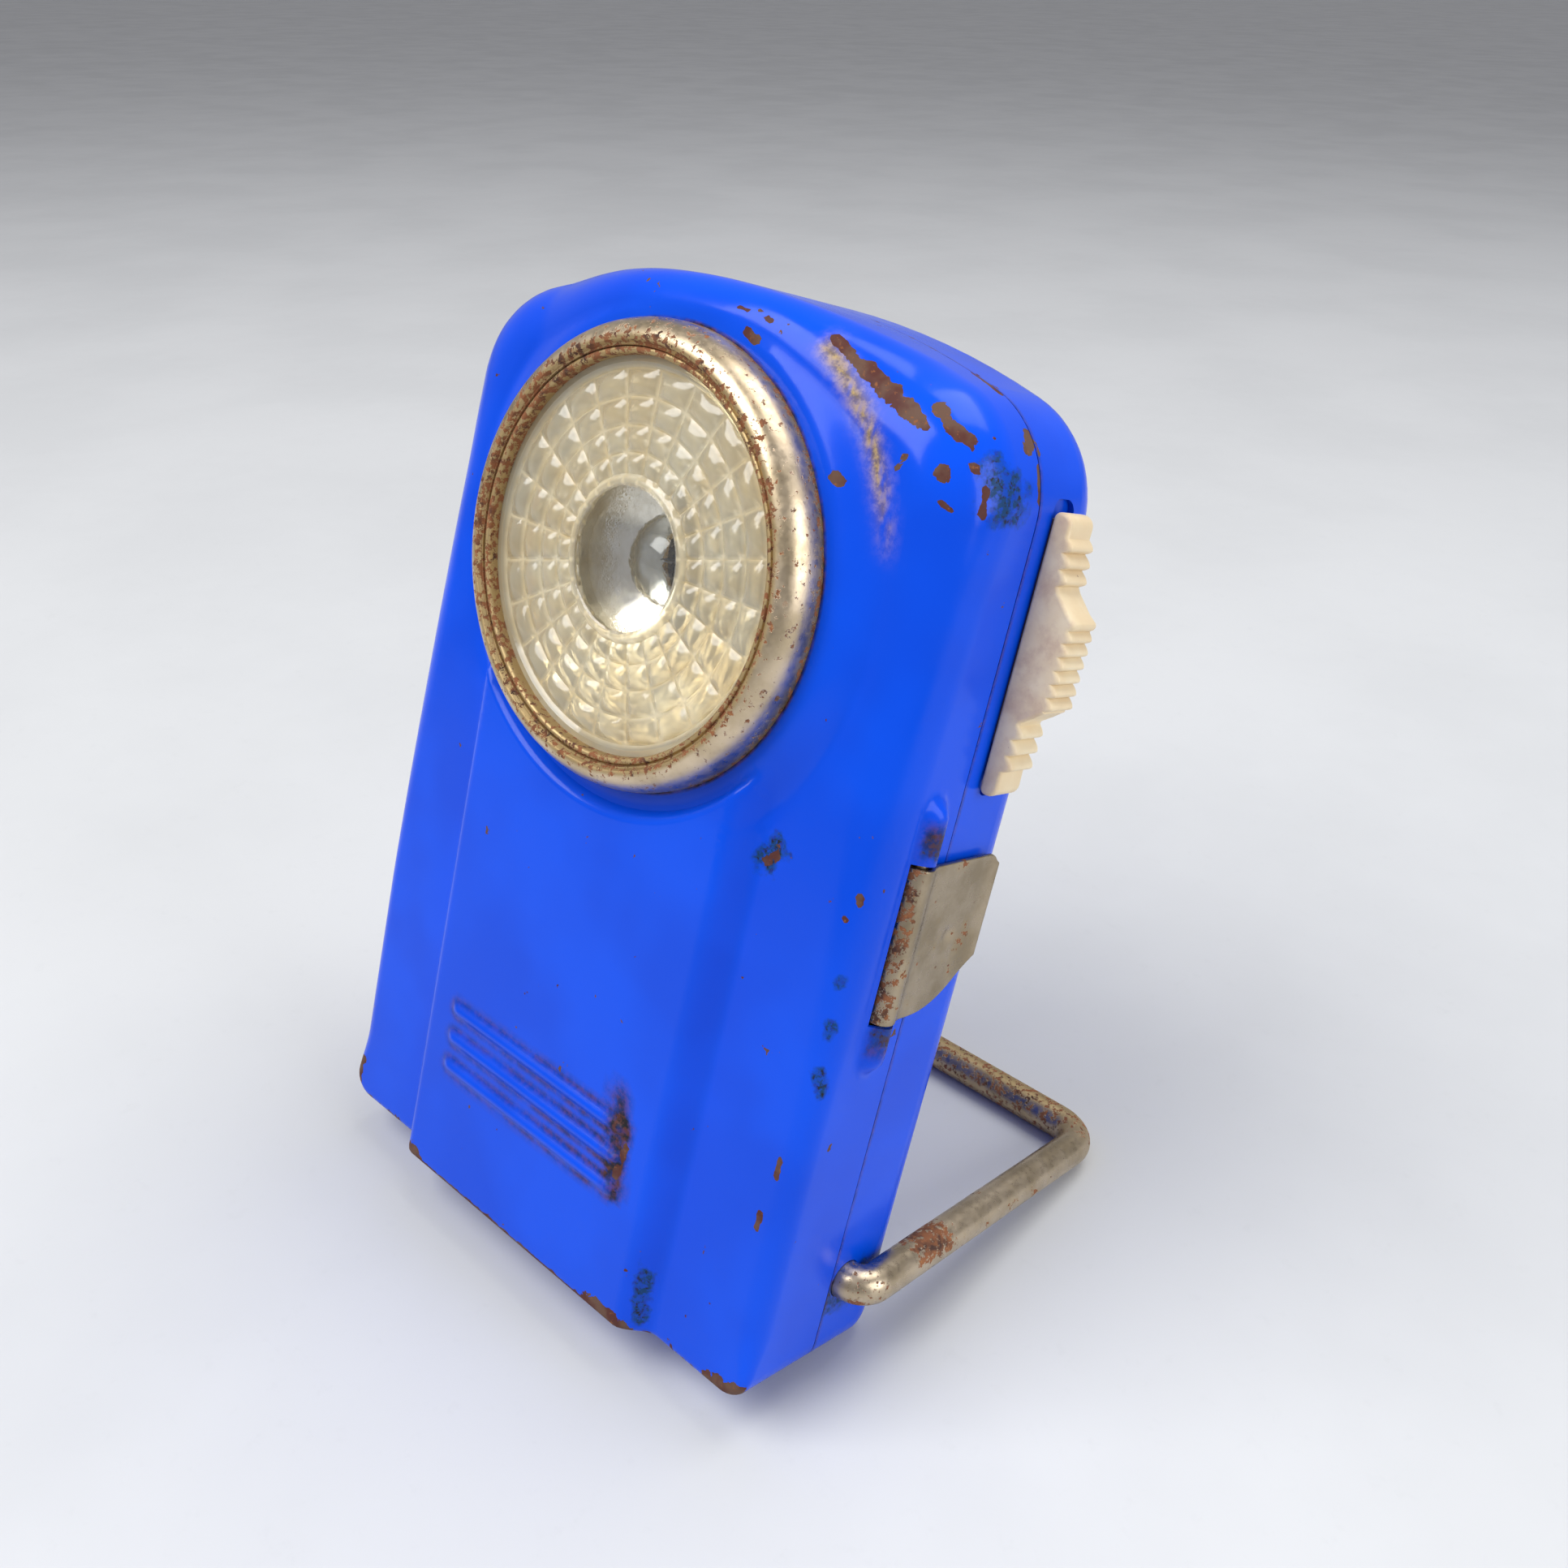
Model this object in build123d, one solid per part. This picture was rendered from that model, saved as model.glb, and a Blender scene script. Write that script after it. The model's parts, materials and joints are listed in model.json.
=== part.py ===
from build123d import *
import os
from math import asin, atan2, cos, degrees, hypot, radians, sin, sqrt

# A pocket torch for a flat 4.5 V battery: two pressed steel shells hinged along the left side,
# a lens and reflector in the front shell, a slide switch and a side latch on the right, and a
# bent wire stand pivoted near the foot of the rear shell.
#
# Everything is first drawn upright, in the case frame: X to the right as seen from the front,
# Y from the front to the back, Z up the case. The flat side bands of the front are at Y = 0 and
# the foot is at Z = 0. The last section leans the whole torch back onto its stand.

# ---------------------------------------------------------------- driving dimensions (mm)
CASE_WIDTH = 70.0
CASE_HEIGHT = 107.0
CASE_BACK = 23.0          # Y of the outside of the back
SEAM = 10.9               # Y where the front shell ends
SEAM_GAP = 0.25
SHEET = 0.5               # thickness of the pressed steel
CROWN_RADIUS = 90.0       # long arch over the top
CORNER_RADIUS = 11.5      # upper corners
FOOT_RADIUS = 3.2         # lower corners
FRONT_EDGE = 2.8          # rounding between the front and the side walls
PANEL_FOOT_EDGE = 1.4     # rounding at the foot of the raised panel
REAR_EDGE = 4.5           # rounding between the side walls and the back
LIP_DEPTH = 3.5           # how far the rear shell tucks into the front shell
LIP_CLEARANCE = 0.3

PANEL_FACE = -2.8         # Y of the raised central panel
PANEL_HALF = 18.9         # half width of its flat face
PANEL_BASE = 21.6         # half width where its sloped sides meet the bands

LENS_Z = 79.2             # height of the lens axis
BOSS_RADIUS = 28.2        # round boss where it leaves the bands
SEAT_RADIUS = 24.0        # flat seat of the bezel
SEAT_FACE = -1.5          # Y of that seat
BOSS_TRIM = 0.4           # how far the boss stays inside the case's outline
BOSS_EDGE = 3.5           # rounding of the boss where it runs over the top edge
SEAT_CUT = 25.0           # circle that ends the raised panel below the bezel
FRONT_HOLE = 21.5

BEZEL_RADIUS = 23.1
BEZEL_LIP = 19.4
BEZEL_FRONT = -5.7
NECK_RADIUS = 21.4
LENS_RADIUS = 20.7
LENS_FRONT = -4.2
LENS_THICK = 1.6
BULLSEYE_RADIUS = 7.1
FACET_RINGS = 4
FOCAL_LENGTH = 7.05
VERTEX = 10.0             # Y of the reflector's vertex
REFLECTOR_RIM = 19.0
REFLECTOR_SHEET = 0.4

GLASS_RADIUS = 5.5
GLASS_Y = 5.2             # centre of the bulb's globe
CAP_RADIUS = 4.7
BULB_TIP = 20.6           # Y of the bulb's rear contact

HINGE_X = -36.9
HINGE_Y = SEAM + SEAM_GAP / 2
HINGE_LOW = 32.0
HINGE_HIGH = 78.0
HINGE_KNUCKLES = 5
KNUCKLE_RADIUS = 1.5
HINGE_PIN_RADIUS = 0.7
RUNNING = 0.05            # radial clearance of every running fit

LATCH_X = CASE_WIDTH / 2
LATCH_Y = 6.9
LATCH_LOW = 43.4
LATCH_HIGH = 59.8
BEAD_LOW = 37.8
BEAD_HIGH = 66.3
BEAD_RADIUS = 1.6
LATCH_ROLL = 1.55
LATCH_PIN_RADIUS = 0.8
LATCH_SHEET = 0.5
LATCH_STANDOFF = 0.45     # clear height of the flange over the case wall
LATCH_END = 19.3          # Y of the flange's rear end

SLIDER_LOW = 66.4
SLIDER_HIGH = 93.7
SLIDER_FRONT = 13.3
SLIDER_WIDTH = 4.3
SLIDER_BASE = 1.7         # how far the low parts stand out from the wall
SLIDER_PEAK = 5.6
SLIDER_LEDGE = 4.1        # reach where the thumb rest starts
SLIDER_BROW = 2.8         # reach where the slope behind the peak ends
SLIDER_TRAVEL = 5.0
SLIDER_GAP = 0.3
POCKET_DEPTH = 0.8

WIRE_RADIUS = 2.1
STAND_X = 37.5            # centre of each leg
STAND_Y = 13.55
STAND_Z = 10.6
STAND_LEG = 46.4
STAND_RISE = 5.3          # degrees above the back's normal, in the standing pose
STAND_BEND = 4.5
PIVOT_BEND = 2.4
PIVOT_END = 31.5

BATTERY_WIDTH = 60.0
BATTERY_DEPTH = 20.0
BATTERY_HEIGHT = 59.5
BATTERY_FRONT = 1.2
BATTERY_FOOT = 2.9
CONTACT_THICK = 0.3

RIB_COUNT = 3             # plain raised ribs near the foot of the panel
RIB_LOW = 15.0
RIB_PITCH = 3.6
RIB_HALF = 14.0
RIB_RADIUS = 1.0
RIB_RISE = 0.55

GROOVE_RADIUS = 20.5
GROOVE_FACE = -5.1
LENS_EDGE_FACE = -3.9     # Y of the lens rim behind the bezel's lip
FLARE_RADIUS = 22.4
FLARE_BACK = -0.5
HOLDER_RADIUS = 5.2
HOLDER_BACK = 16.6
REFLECTOR_NECK = 1.6
CAP_FRONT = 9.8
CAP_BACK = 18.6
CAP_RIDGES = 4
FILAMENT_Y = 3.2

HINGE_SPACE = 0.3         # gap between neighbouring knuckles
LEAF_WIDTH = 4.6
DIMPLE_RADIUS = 1.9
DIMPLE_DEPTH = 0.3

POCKET_LOW = 65.9
POCKET_HIGH = 94.7
TONGUE_LOW = 71.6
TONGUE_HIGH = 92.9
TONGUE_WIDTH = 3.0
TONGUE_CLEARANCE = 0.3
SLIDER_RIVET_Z = 81.0
SLOT_HALF = 1.0
RIB_TOOTH = 0.45
PLATE_DROP = 1.3          # from the tongue in to the spring plate
PLATE_HALF = 1.7          # half width of the spring plate
PLATE_REACH = 4.5         # half length of the spring plate

SEAL_DEPTH = 1.6
SHORT_CONTACT_X = -10.0
LONG_CONTACT_X = 17.0
SHORT_CONTACT_Y = 17.6
CLIP_LOW = 80.0
CLIP_HIGH = 88.0
BOARD_LEFT = -16.0
BOARD_RIGHT = 25.0
BOARD_LOW = 65.5
BOARD_HIGH = 91.0
BOARD_FACE = 21.25
BOARD_THICK = 1.0
STRIP_RIVET = 0.8
LAMP_STRIP_TOP_X = 0.0
SWITCH_STRIP_X = 31.0
SWITCH_STRIP_Z = 76.0

# ---------------------------------------------------------------- shared helpers
def box_between(low, high):
    """A block from its lowest corner to its highest corner."""
    sizes = [b - a for a, b in zip(low, high)]
    centre = [(a + b) / 2 for a, b in zip(low, high)]
    return Pos(*centre) * Box(*sizes)


def prism_y(profile, y_front, y_back):
    """A front-view profile, drawn in X and Z, carried from one Y to another."""
    return Pos(0, y_back, 0) * extrude(Plane.XZ * profile, y_back - y_front)


def prism_z(profile, z_low, z_high):
    """A plan-view profile, drawn in X and Y, carried from one Z to another."""
    return Pos(0, 0, z_low) * extrude(profile, z_high - z_low)


def prism_x(profile, x_low, x_high):
    """A side-view profile, drawn in Y and Z, carried from one X to another."""
    return Pos(x_low, 0, 0) * extrude(Plane.YZ * profile, x_high - x_low)


def rod_y(x, z, radius, y_front, y_back):
    return prism_y(Pos(x, z) * Circle(radius), y_front, y_back)


def rod_z(x, y, radius, z_low, z_high):
    return prism_z(Pos(x, y) * Circle(radius), z_low, z_high)


def rod_x(y, z, radius, x_low, x_high):
    return prism_x(Pos(y, z) * Circle(radius), x_low, x_high)


def turned(profile):
    """A profile drawn as (radius, Y), turned about the lens axis."""
    solid = revolve(Plane.XY * profile, Axis.Y, 360)
    return Pos(0, 0, LENS_Z) * solid


def ring_y(inner, outer, y_front, y_back):
    """A plain ring about the lens axis."""
    return rod_y(0, LENS_Z, outer, y_front, y_back) - rod_y(0, LENS_Z, inner, y_front, y_back)


# ---------------------------------------------------------------- the case's form
def case_outline(inset):
    """Front-view outline of the case, moved inwards by inset."""
    half = CASE_WIDTH / 2 - inset
    foot = FOOT_RADIUS - inset
    corner = CORNER_RADIUS - inset
    crown_z = CASE_HEIGHT - CROWN_RADIUS
    corner_x = CASE_WIDTH / 2 - CORNER_RADIUS
    corner_z = crown_z + sqrt((CROWN_RADIUS - CORNER_RADIUS) ** 2 - corner_x ** 2)
    meet = atan2(corner_z - crown_z, corner_x)
    middle = meet / 2
    slant = sqrt(0.5)

    def foot_arc(side):
        start = (side * (half - foot), inset)
        mid = (side * (half - foot + foot * slant), inset + foot - foot * slant)
        return ThreePointArc(start, mid, (side * half, inset + foot))

    def corner_arc(side):
        mid = (side * (corner_x + corner * cos(middle)), corner_z + corner * sin(middle))
        end = (side * (corner_x + corner * cos(meet)), corner_z + corner * sin(meet))
        return ThreePointArc((side * half, corner_z), mid, end)

    meet_x = corner_x + corner * cos(meet)
    meet_z = corner_z + corner * sin(meet)
    edges = [
        Line((-half + foot, inset), (half - foot, inset)),
        foot_arc(1),
        Line((half, inset + foot), (half, corner_z)),
        corner_arc(1),
        ThreePointArc((meet_x, meet_z), (0, CASE_HEIGHT - inset), (-meet_x, meet_z)),
        corner_arc(-1),
        Line((-half, inset + foot), (-half, corner_z)),
        foot_arc(-1),
    ]
    return make_face(edges)


def front_block(inset, y_front, y_back, rounding):
    """The outline carried back from y_front, with its front edge rounded."""
    block = prism_y(case_outline(inset), y_front, y_back)
    return fillet(block.faces().sort_by(Axis.Y)[0].edges(), rounding)


def panel_block(inset):
    """The raised central panel: sloped sides, and a rounded foot."""
    face = PANEL_FACE + inset
    slope = (PANEL_BASE - PANEL_HALF) / -PANEL_FACE
    narrow = PANEL_HALF - inset / 2
    depth = FRONT_EDGE
    wide = narrow + slope * (depth - face)
    plan = make_face(Polyline((-narrow, face), (narrow, face), (wide, depth), (-wide, depth), close=True))
    plan = fillet(plan.vertices().sort_by(Axis.Y)[:2], 1.0)
    top = LENS_Z - sqrt(SEAT_CUT ** 2 - PANEL_BASE ** 2) - 0.2
    panel = prism_z(plan, inset, top)
    side = Pos((face + depth) / 2, (inset + top) / 2) * Rectangle(depth - face, top - inset)
    side = fillet(side.vertices().group_by(Axis.X)[0].sort_by(Axis.Y)[:1], PANEL_FOOT_EDGE - inset)
    return panel & prism_x(side, -wide, wide)


def boss_block(inset):
    """The round boss that carries the bezel, trimmed where it runs over the top edge."""
    rise = inset / 3
    profile = make_face(Polyline(
        (0, SEAT_FACE + inset),
        (SEAT_RADIUS - rise, SEAT_FACE + inset),
        (BOSS_RADIUS - rise, inset),
        (BOSS_RADIUS - rise, FRONT_EDGE),
        (0, FRONT_EDGE),
        close=True,
    ))
    trim = front_block(inset + BOSS_TRIM, SEAT_FACE + inset, SEAM, BOSS_EDGE - inset)
    return turned(profile) & trim


def front_form(inset, y_back):
    """Outer surface of the front shell, moved inwards by inset."""
    form = front_block(inset, inset, y_back, FRONT_EDGE - inset)
    form = form + panel_block(inset) - rod_y(0, LENS_Z, SEAT_CUT - inset, PANEL_FACE, SEAT_FACE + inset)
    return form + boss_block(inset)


def rear_form(inset, y_front):
    """Outer surface of the rear shell, moved inwards by inset."""
    block = prism_y(case_outline(inset), y_front, CASE_BACK - inset)
    return fillet(block.faces().sort_by(Axis.Y)[-1].edges(), REAR_EDGE - inset)


def front_case():
    """Front shell: one pressed sheet with the bezel's hole, the latch's bead and its window."""
    shell = front_form(0, SEAM) - front_form(SHEET, SEAM + 1)
    shell = shell - rod_y(0, LENS_Z, FRONT_HOLE, PANEL_FACE - 1, FRONT_EDGE)
    bead = rod_z(LATCH_X, LATCH_Y, BEAD_RADIUS, BEAD_LOW + BEAD_RADIUS, BEAD_HIGH - BEAD_RADIUS)
    hollow_radius = LATCH_PIN_RADIUS + RUNNING
    hollow = rod_z(LATCH_X, LATCH_Y, hollow_radius, BEAD_LOW + BEAD_RADIUS, BEAD_HIGH - BEAD_RADIUS)
    for end_z in (BEAD_LOW + BEAD_RADIUS, BEAD_HIGH - BEAD_RADIUS):
        bead = bead + Pos(LATCH_X, LATCH_Y, end_z) * Sphere(BEAD_RADIUS)
    inside = box_between((0, 0, 0), (CASE_WIDTH / 2 - SHEET, SEAM, CASE_HEIGHT))
    channel = box_between(
        (CASE_WIDTH / 2 - 2, LATCH_Y - hollow_radius, BEAD_LOW + BEAD_RADIUS),
        (CASE_WIDTH / 2, LATCH_Y + hollow_radius, BEAD_HIGH - BEAD_RADIUS),
    )
    window = box_between(
        (CASE_WIDTH / 2 - 3, LATCH_Y - LATCH_ROLL - 0.35, LATCH_LOW - 0.3),
        (CASE_WIDTH / 2 + 3, LATCH_Y + LATCH_ROLL + 0.35, LATCH_HIGH + 0.3),
    )
    shell = shell + (bead - inside) - hollow - channel - window
    for level in range(RIB_COUNT):
        shell = shell + panel_rib(RIB_LOW + level * RIB_PITCH)
    return shell


def panel_rib(height):
    """One plain raised rib across the lower part of the panel."""
    axis_y = PANEL_FACE + RIB_RADIUS - RIB_RISE
    rib = rod_x(axis_y, height, RIB_RADIUS, -RIB_HALF, RIB_HALF)
    for side in (-1, 1):
        rib = rib + Pos(side * RIB_HALF, axis_y, height) * Sphere(RIB_RADIUS)
    return rib & box_between((-CASE_WIDTH, PANEL_FACE - 2, 0), (CASE_WIDTH, PANEL_FACE + SHEET / 2, 60))


def rear_case():
    """Rear shell: the wall and back, with a joggled lip that tucks into the front shell."""
    edge = SEAM + SEAM_GAP
    joggle = edge + 0.6
    tuck = SHEET + LIP_CLEARANCE
    shell = rear_form(0, edge) + prism_y(case_outline(tuck), SEAM - LIP_DEPTH, joggle)
    shell = shell - prism_y(case_outline(tuck + SHEET), SEAM - LIP_DEPTH - 1, joggle)
    shell = shell - rear_form(SHEET, joggle)
    for side in (-1, 1):
        near = side * (CASE_WIDTH / 2 - 2)
        far = side * (CASE_WIDTH / 2 + 2)
        shell = shell - rod_x(STAND_Y, STAND_Z, WIRE_RADIUS + 0.08, min(near, far), max(near, far))
    wall = CASE_WIDTH / 2
    notch_low = (wall - tuck - SHEET - 1, SEAM - LIP_DEPTH - 1, LATCH_LOW - 0.8)
    notch_high = (wall - SHEET + 0.1, LATCH_Y + LATCH_ROLL + 0.5, LATCH_HIGH + 0.8)
    shell = shell - box_between(notch_low, notch_high)
    dent = pocket_block(POCKET_DEPTH, 0)
    backing = pocket_block(POCKET_DEPTH + SHEET, SHEET) & box_between(
        (wall - POCKET_DEPTH - SHEET, joggle, 0), (wall, CASE_BACK, CASE_HEIGHT)
    )
    shell = shell + (backing & rear_form(0, edge)) - dent
    middle = SLIDER_FRONT + SLIDER_WIDTH / 2
    slot_low = SLIDER_RIVET_Z - SLIDER_TRAVEL - SLOT_HALF
    slot_high = SLIDER_RIVET_Z + SLOT_HALF
    slot = box_between((wall - 3, middle - SLOT_HALF, slot_low), (wall + 1, middle + SLOT_HALF, slot_high))
    return shell - slot


def pocket_block(depth, grow):
    """The shallow pocket that guides the slider, pressed into the right wall."""
    middle = SLIDER_FRONT + SLIDER_WIDTH / 2
    width = TONGUE_WIDTH + 2 * TONGUE_CLEARANCE + 2 * grow
    low = POCKET_LOW - grow
    high = POCKET_HIGH + grow
    outline = Pos(middle, (low + high) / 2) * RectangleRounded(width, high - low, 1.2 + grow)
    return prism_x(outline, CASE_WIDTH / 2 - depth, CASE_WIDTH / 2 + 2)


# ---------------------------------------------------------------- lens, bezel and lamp
def bezel_ring():
    """Rolled trim ring with a neck through the front shell and a flare behind it."""
    shoulder_y = BEZEL_FRONT + 1.7
    outer = [
        Line((BEZEL_RADIUS, SEAT_FACE), (BEZEL_RADIUS, shoulder_y)),
        ThreePointArc(
            (BEZEL_RADIUS, shoulder_y),
            (BEZEL_RADIUS - 0.45, BEZEL_FRONT + 0.48),
            (BEZEL_RADIUS - 1.6, BEZEL_FRONT),
        ),
        Line((BEZEL_RADIUS - 1.6, BEZEL_FRONT), (GROOVE_RADIUS + 0.5, GROOVE_FACE - 0.15)),
        ThreePointArc(
            (GROOVE_RADIUS + 0.5, GROOVE_FACE - 0.15),
            (GROOVE_RADIUS, GROOVE_FACE + 0.15),
            (GROOVE_RADIUS - 0.5, GROOVE_FACE - 0.15),
        ),
        ThreePointArc(
            (GROOVE_RADIUS - 0.5, GROOVE_FACE - 0.15),
            (BEZEL_LIP + 0.15, GROOVE_FACE),
            (BEZEL_LIP, GROOVE_FACE + 0.5),
        ),
        Line((BEZEL_LIP, GROOVE_FACE + 0.5), (BEZEL_LIP, LENS_EDGE_FACE)),
        Line((BEZEL_LIP, LENS_EDGE_FACE), (NECK_RADIUS - 0.5, LENS_EDGE_FACE)),
        Line((NECK_RADIUS - 0.5, LENS_EDGE_FACE), (NECK_RADIUS - 0.5, FLARE_BACK)),
        Line((NECK_RADIUS - 0.5, FLARE_BACK), (FLARE_RADIUS, FLARE_BACK)),
        Line((FLARE_RADIUS, FLARE_BACK), (FLARE_RADIUS, SEAT_FACE + SHEET)),
        Line((FLARE_RADIUS, SEAT_FACE + SHEET), (NECK_RADIUS, SEAT_FACE + SHEET)),
        Line((NECK_RADIUS, SEAT_FACE + SHEET), (NECK_RADIUS, GROOVE_FACE + 1.2)),
        Line((NECK_RADIUS, GROOVE_FACE + 1.2), (BEZEL_RADIUS - 0.5, GROOVE_FACE + 1.2)),
        Line((BEZEL_RADIUS - 0.5, GROOVE_FACE + 1.2), (BEZEL_RADIUS - 0.5, SEAT_FACE)),
        Line((BEZEL_RADIUS - 0.5, SEAT_FACE), (BEZEL_RADIUS, SEAT_FACE)),
    ]
    return turned(make_face(outer))


def lens():
    """Clear disc: a plain bullseye inside stepped rings, and a flat rim under the bezel."""
    back = LENS_EDGE_FACE + LENS_THICK
    ring_width = (BEZEL_LIP - 1.0 - BULLSEYE_RADIUS) / FACET_RINGS
    points = [(0, LENS_FRONT), (BULLSEYE_RADIUS, LENS_FRONT), (BULLSEYE_RADIUS + 0.4, LENS_FRONT + 0.3)]
    points += [(BEZEL_LIP - 1.0, LENS_FRONT + 0.3), (LENS_RADIUS, LENS_EDGE_FACE), (LENS_RADIUS, back)]
    for ring in range(FACET_RINGS):
        outer = BEZEL_LIP - 1.0 - ring * ring_width
        points += [(outer, back), (outer - ring_width / 2, back - 0.35)]
    points += [(BULLSEYE_RADIUS, back), (BULLSEYE_RADIUS - 0.4, back - 0.4), (0, back - 0.4)]
    return turned(make_face(Polyline(points, close=True)))


def lens_retaining_ring():
    """Split spring ring that holds the lens and reflector up against the bezel."""
    back = LENS_EDGE_FACE + LENS_THICK + REFLECTOR_SHEET
    ring = ring_y(NECK_RADIUS - 1.5, NECK_RADIUS - 0.5, back, back + 0.9)
    gap = box_between((-1.2, back - 1, LENS_Z - FRONT_HOLE - 2), (1.2, back + 2, LENS_Z - FRONT_HOLE + 3))
    return ring - gap


def reflector():
    """Spun parabolic reflector with a flat rim and a short neck for the lamp holder."""
    rim_y = LENS_EDGE_FACE + LENS_THICK

    def dish_y(radius):
        return VERTEX - radius ** 2 / (4 * FOCAL_LENGTH)

    rim = sqrt((VERTEX - rim_y - REFLECTOR_SHEET) * 4 * FOCAL_LENGTH)
    steps = 14
    inner = []
    outer = []
    for step in range(steps + 1):
        radius = HOLDER_RADIUS + (rim - HOLDER_RADIUS) * step / steps
        slope = radius / (2 * FOCAL_LENGTH)
        scale = REFLECTOR_SHEET / hypot(1, slope)
        inner.append((radius, dish_y(radius)))
        outer.append((radius + slope * scale, dish_y(radius) + scale))
    front_edge = (rim, rim_y)
    back_edge = (outer[-1][0], rim_y + REFLECTOR_SHEET)
    neck_y = dish_y(HOLDER_RADIUS) + REFLECTOR_NECK
    edges = [
        Spline(inner),
        Line(inner[-1], front_edge),
        Line(front_edge, (LENS_RADIUS, rim_y)),
        Line((LENS_RADIUS, rim_y), (LENS_RADIUS, rim_y + REFLECTOR_SHEET)),
        Line((LENS_RADIUS, rim_y + REFLECTOR_SHEET), back_edge),
        Line(back_edge, outer[-1]),
        Spline(list(reversed(outer))),
        Line(outer[0], (HOLDER_RADIUS + REFLECTOR_SHEET, neck_y)),
        Line((HOLDER_RADIUS + REFLECTOR_SHEET, neck_y), (HOLDER_RADIUS, neck_y)),
        Line((HOLDER_RADIUS, neck_y), inner[0]),
    ]
    return turned(make_face(edges))


def lamp_holder():
    """Threaded brass sleeve fixed in the reflector's neck."""
    start = VERTEX - HOLDER_RADIUS ** 2 / (4 * FOCAL_LENGTH) - 0.4
    sleeve = ring_y(CAP_RADIUS, HOLDER_RADIUS, start, HOLDER_BACK)
    collar_y = VERTEX - HOLDER_RADIUS ** 2 / (4 * FOCAL_LENGTH) + REFLECTOR_NECK
    return sleeve + ring_y(CAP_RADIUS, HOLDER_RADIUS + 1.2, collar_y, collar_y + 0.8)


def bulb_glass():
    """Blown globe, open at the neck that is cemented into the cap."""
    def globe(radius, neck, back):
        ball = Pos(0, GLASS_Y, LENS_Z) * Sphere(radius)
        return ball + rod_y(0, LENS_Z, neck, GLASS_Y, back)
    return globe(GLASS_RADIUS, 3.9, CAP_FRONT + 3.0) - globe(GLASS_RADIUS - 0.4, 3.5, CAP_FRONT + 4.0)


def bulb_cap():
    """Screw cap of the bulb, hollow, with rounded thread ridges."""
    cap = ring_y(3.9, CAP_RADIUS - 0.35, CAP_FRONT, CAP_BACK)
    pitch = (CAP_BACK - CAP_FRONT - 2.0) / CAP_RIDGES
    for turn in range(CAP_RIDGES):
        start = CAP_FRONT + 1.2 + turn * pitch
        cap = cap + ring_y(4.0, CAP_RADIUS, start, start + pitch * 0.55)
    return cap


def bulb_insulator():
    """Black glass ring that closes the cap around the rear contact."""
    profile = make_face(Polyline(
        (1.0, CAP_BACK - 0.6),
        (3.9, CAP_BACK - 0.6),
        (3.9, CAP_BACK),
        (1.6, BULB_TIP - 0.5),
        (1.0, BULB_TIP - 0.5),
        close=True,
    ))
    return turned(profile)


def bulb_tip_contact():
    """Solder pip at the rear of the bulb, with its stem through the insulator."""
    stem = rod_y(0, LENS_Z, 1.0, CAP_BACK - 1.0, BULB_TIP - 0.5)
    pip = Pos(0, BULB_TIP - 1.5, LENS_Z) * Sphere(1.5)
    cap = pip & box_between((-2, BULB_TIP - 0.5, LENS_Z - 2), (2, BULB_TIP, LENS_Z + 2))
    return stem + cap


def bulb_stem():
    """Glass bead that carries the two support wires."""
    return rod_y(0, LENS_Z, 1.1, GLASS_Y + 2.2, CAP_FRONT + 2.0) - bulb_lead_wires()


def bulb_lead_wires():
    """The pair of support wires."""
    wires = [rod_y(side * 0.7, LENS_Z, 0.15, FILAMENT_Y, CAP_FRONT + 2.5) for side in (-1, 1)]
    return wires[0] + wires[1]


def bulb_filament():
    """Short filament bowed between the tops of the wires."""
    path = ThreePointArc(
        (-0.7, FILAMENT_Y - 0.1, LENS_Z),
        (0, FILAMENT_Y - 0.5, LENS_Z),
        (0.7, FILAMENT_Y - 0.1, LENS_Z),
    )
    section = Plane(origin=path @ 0, z_dir=path % 0) * Circle(0.1)
    return sweep(section, path=path)


# ---------------------------------------------------------------- hinge and latch
def hinge_leaf(own_knuckles, side):
    """A hinge leaf: a plate welded to the case's left wall, and every second knuckle."""
    pitch = (HINGE_HIGH - HINGE_LOW + HINGE_SPACE) / HINGE_KNUCKLES
    wall = -CASE_WIDTH / 2
    near = HINGE_Y + side * (KNUCKLE_RADIUS + 0.45)
    far = HINGE_Y + side * LEAF_WIDTH
    plate_low = (wall - SHEET, min(near, far), HINGE_LOW)
    plate_high = (wall, max(near, far), HINGE_HIGH)
    leaf = box_between(plate_low, plate_high)
    for index in own_knuckles:
        low = HINGE_LOW + index * pitch
        high = low + pitch - HINGE_SPACE
        root_a = HINGE_Y + side * 0.25
        root_b = near
        root = box_between((HINGE_X, min(root_a, root_b), low), (wall, max(root_a, root_b), high))
        curl = rod_z(HINGE_X, HINGE_Y, KNUCKLE_RADIUS, low, high)
        reach = rod_z(HINGE_X, HINGE_Y, KNUCKLE_RADIUS + 0.45, low, high)
        outside = box_between(
            (HINGE_X - 3, HINGE_Y - 3, low), (wall - SHEET, HINGE_Y + 3, high)
        )
        leaf = leaf + curl + (root - (reach & outside))
        leaf = leaf - rod_z(HINGE_X, HINGE_Y, HINGE_PIN_RADIUS + RUNNING, low, high)
    return leaf


def hinge_pin():
    """Wire pin through the knuckles, with a peened head at each end."""
    pin = rod_z(HINGE_X, HINGE_Y, HINGE_PIN_RADIUS, HINGE_LOW - 0.4, HINGE_HIGH + 0.4)
    for end in (HINGE_LOW - 0.9, HINGE_HIGH + 0.4):
        pin = pin + rod_z(HINGE_X, HINGE_Y, HINGE_PIN_RADIUS + 0.3, end, end + 0.5)
    return pin


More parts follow.
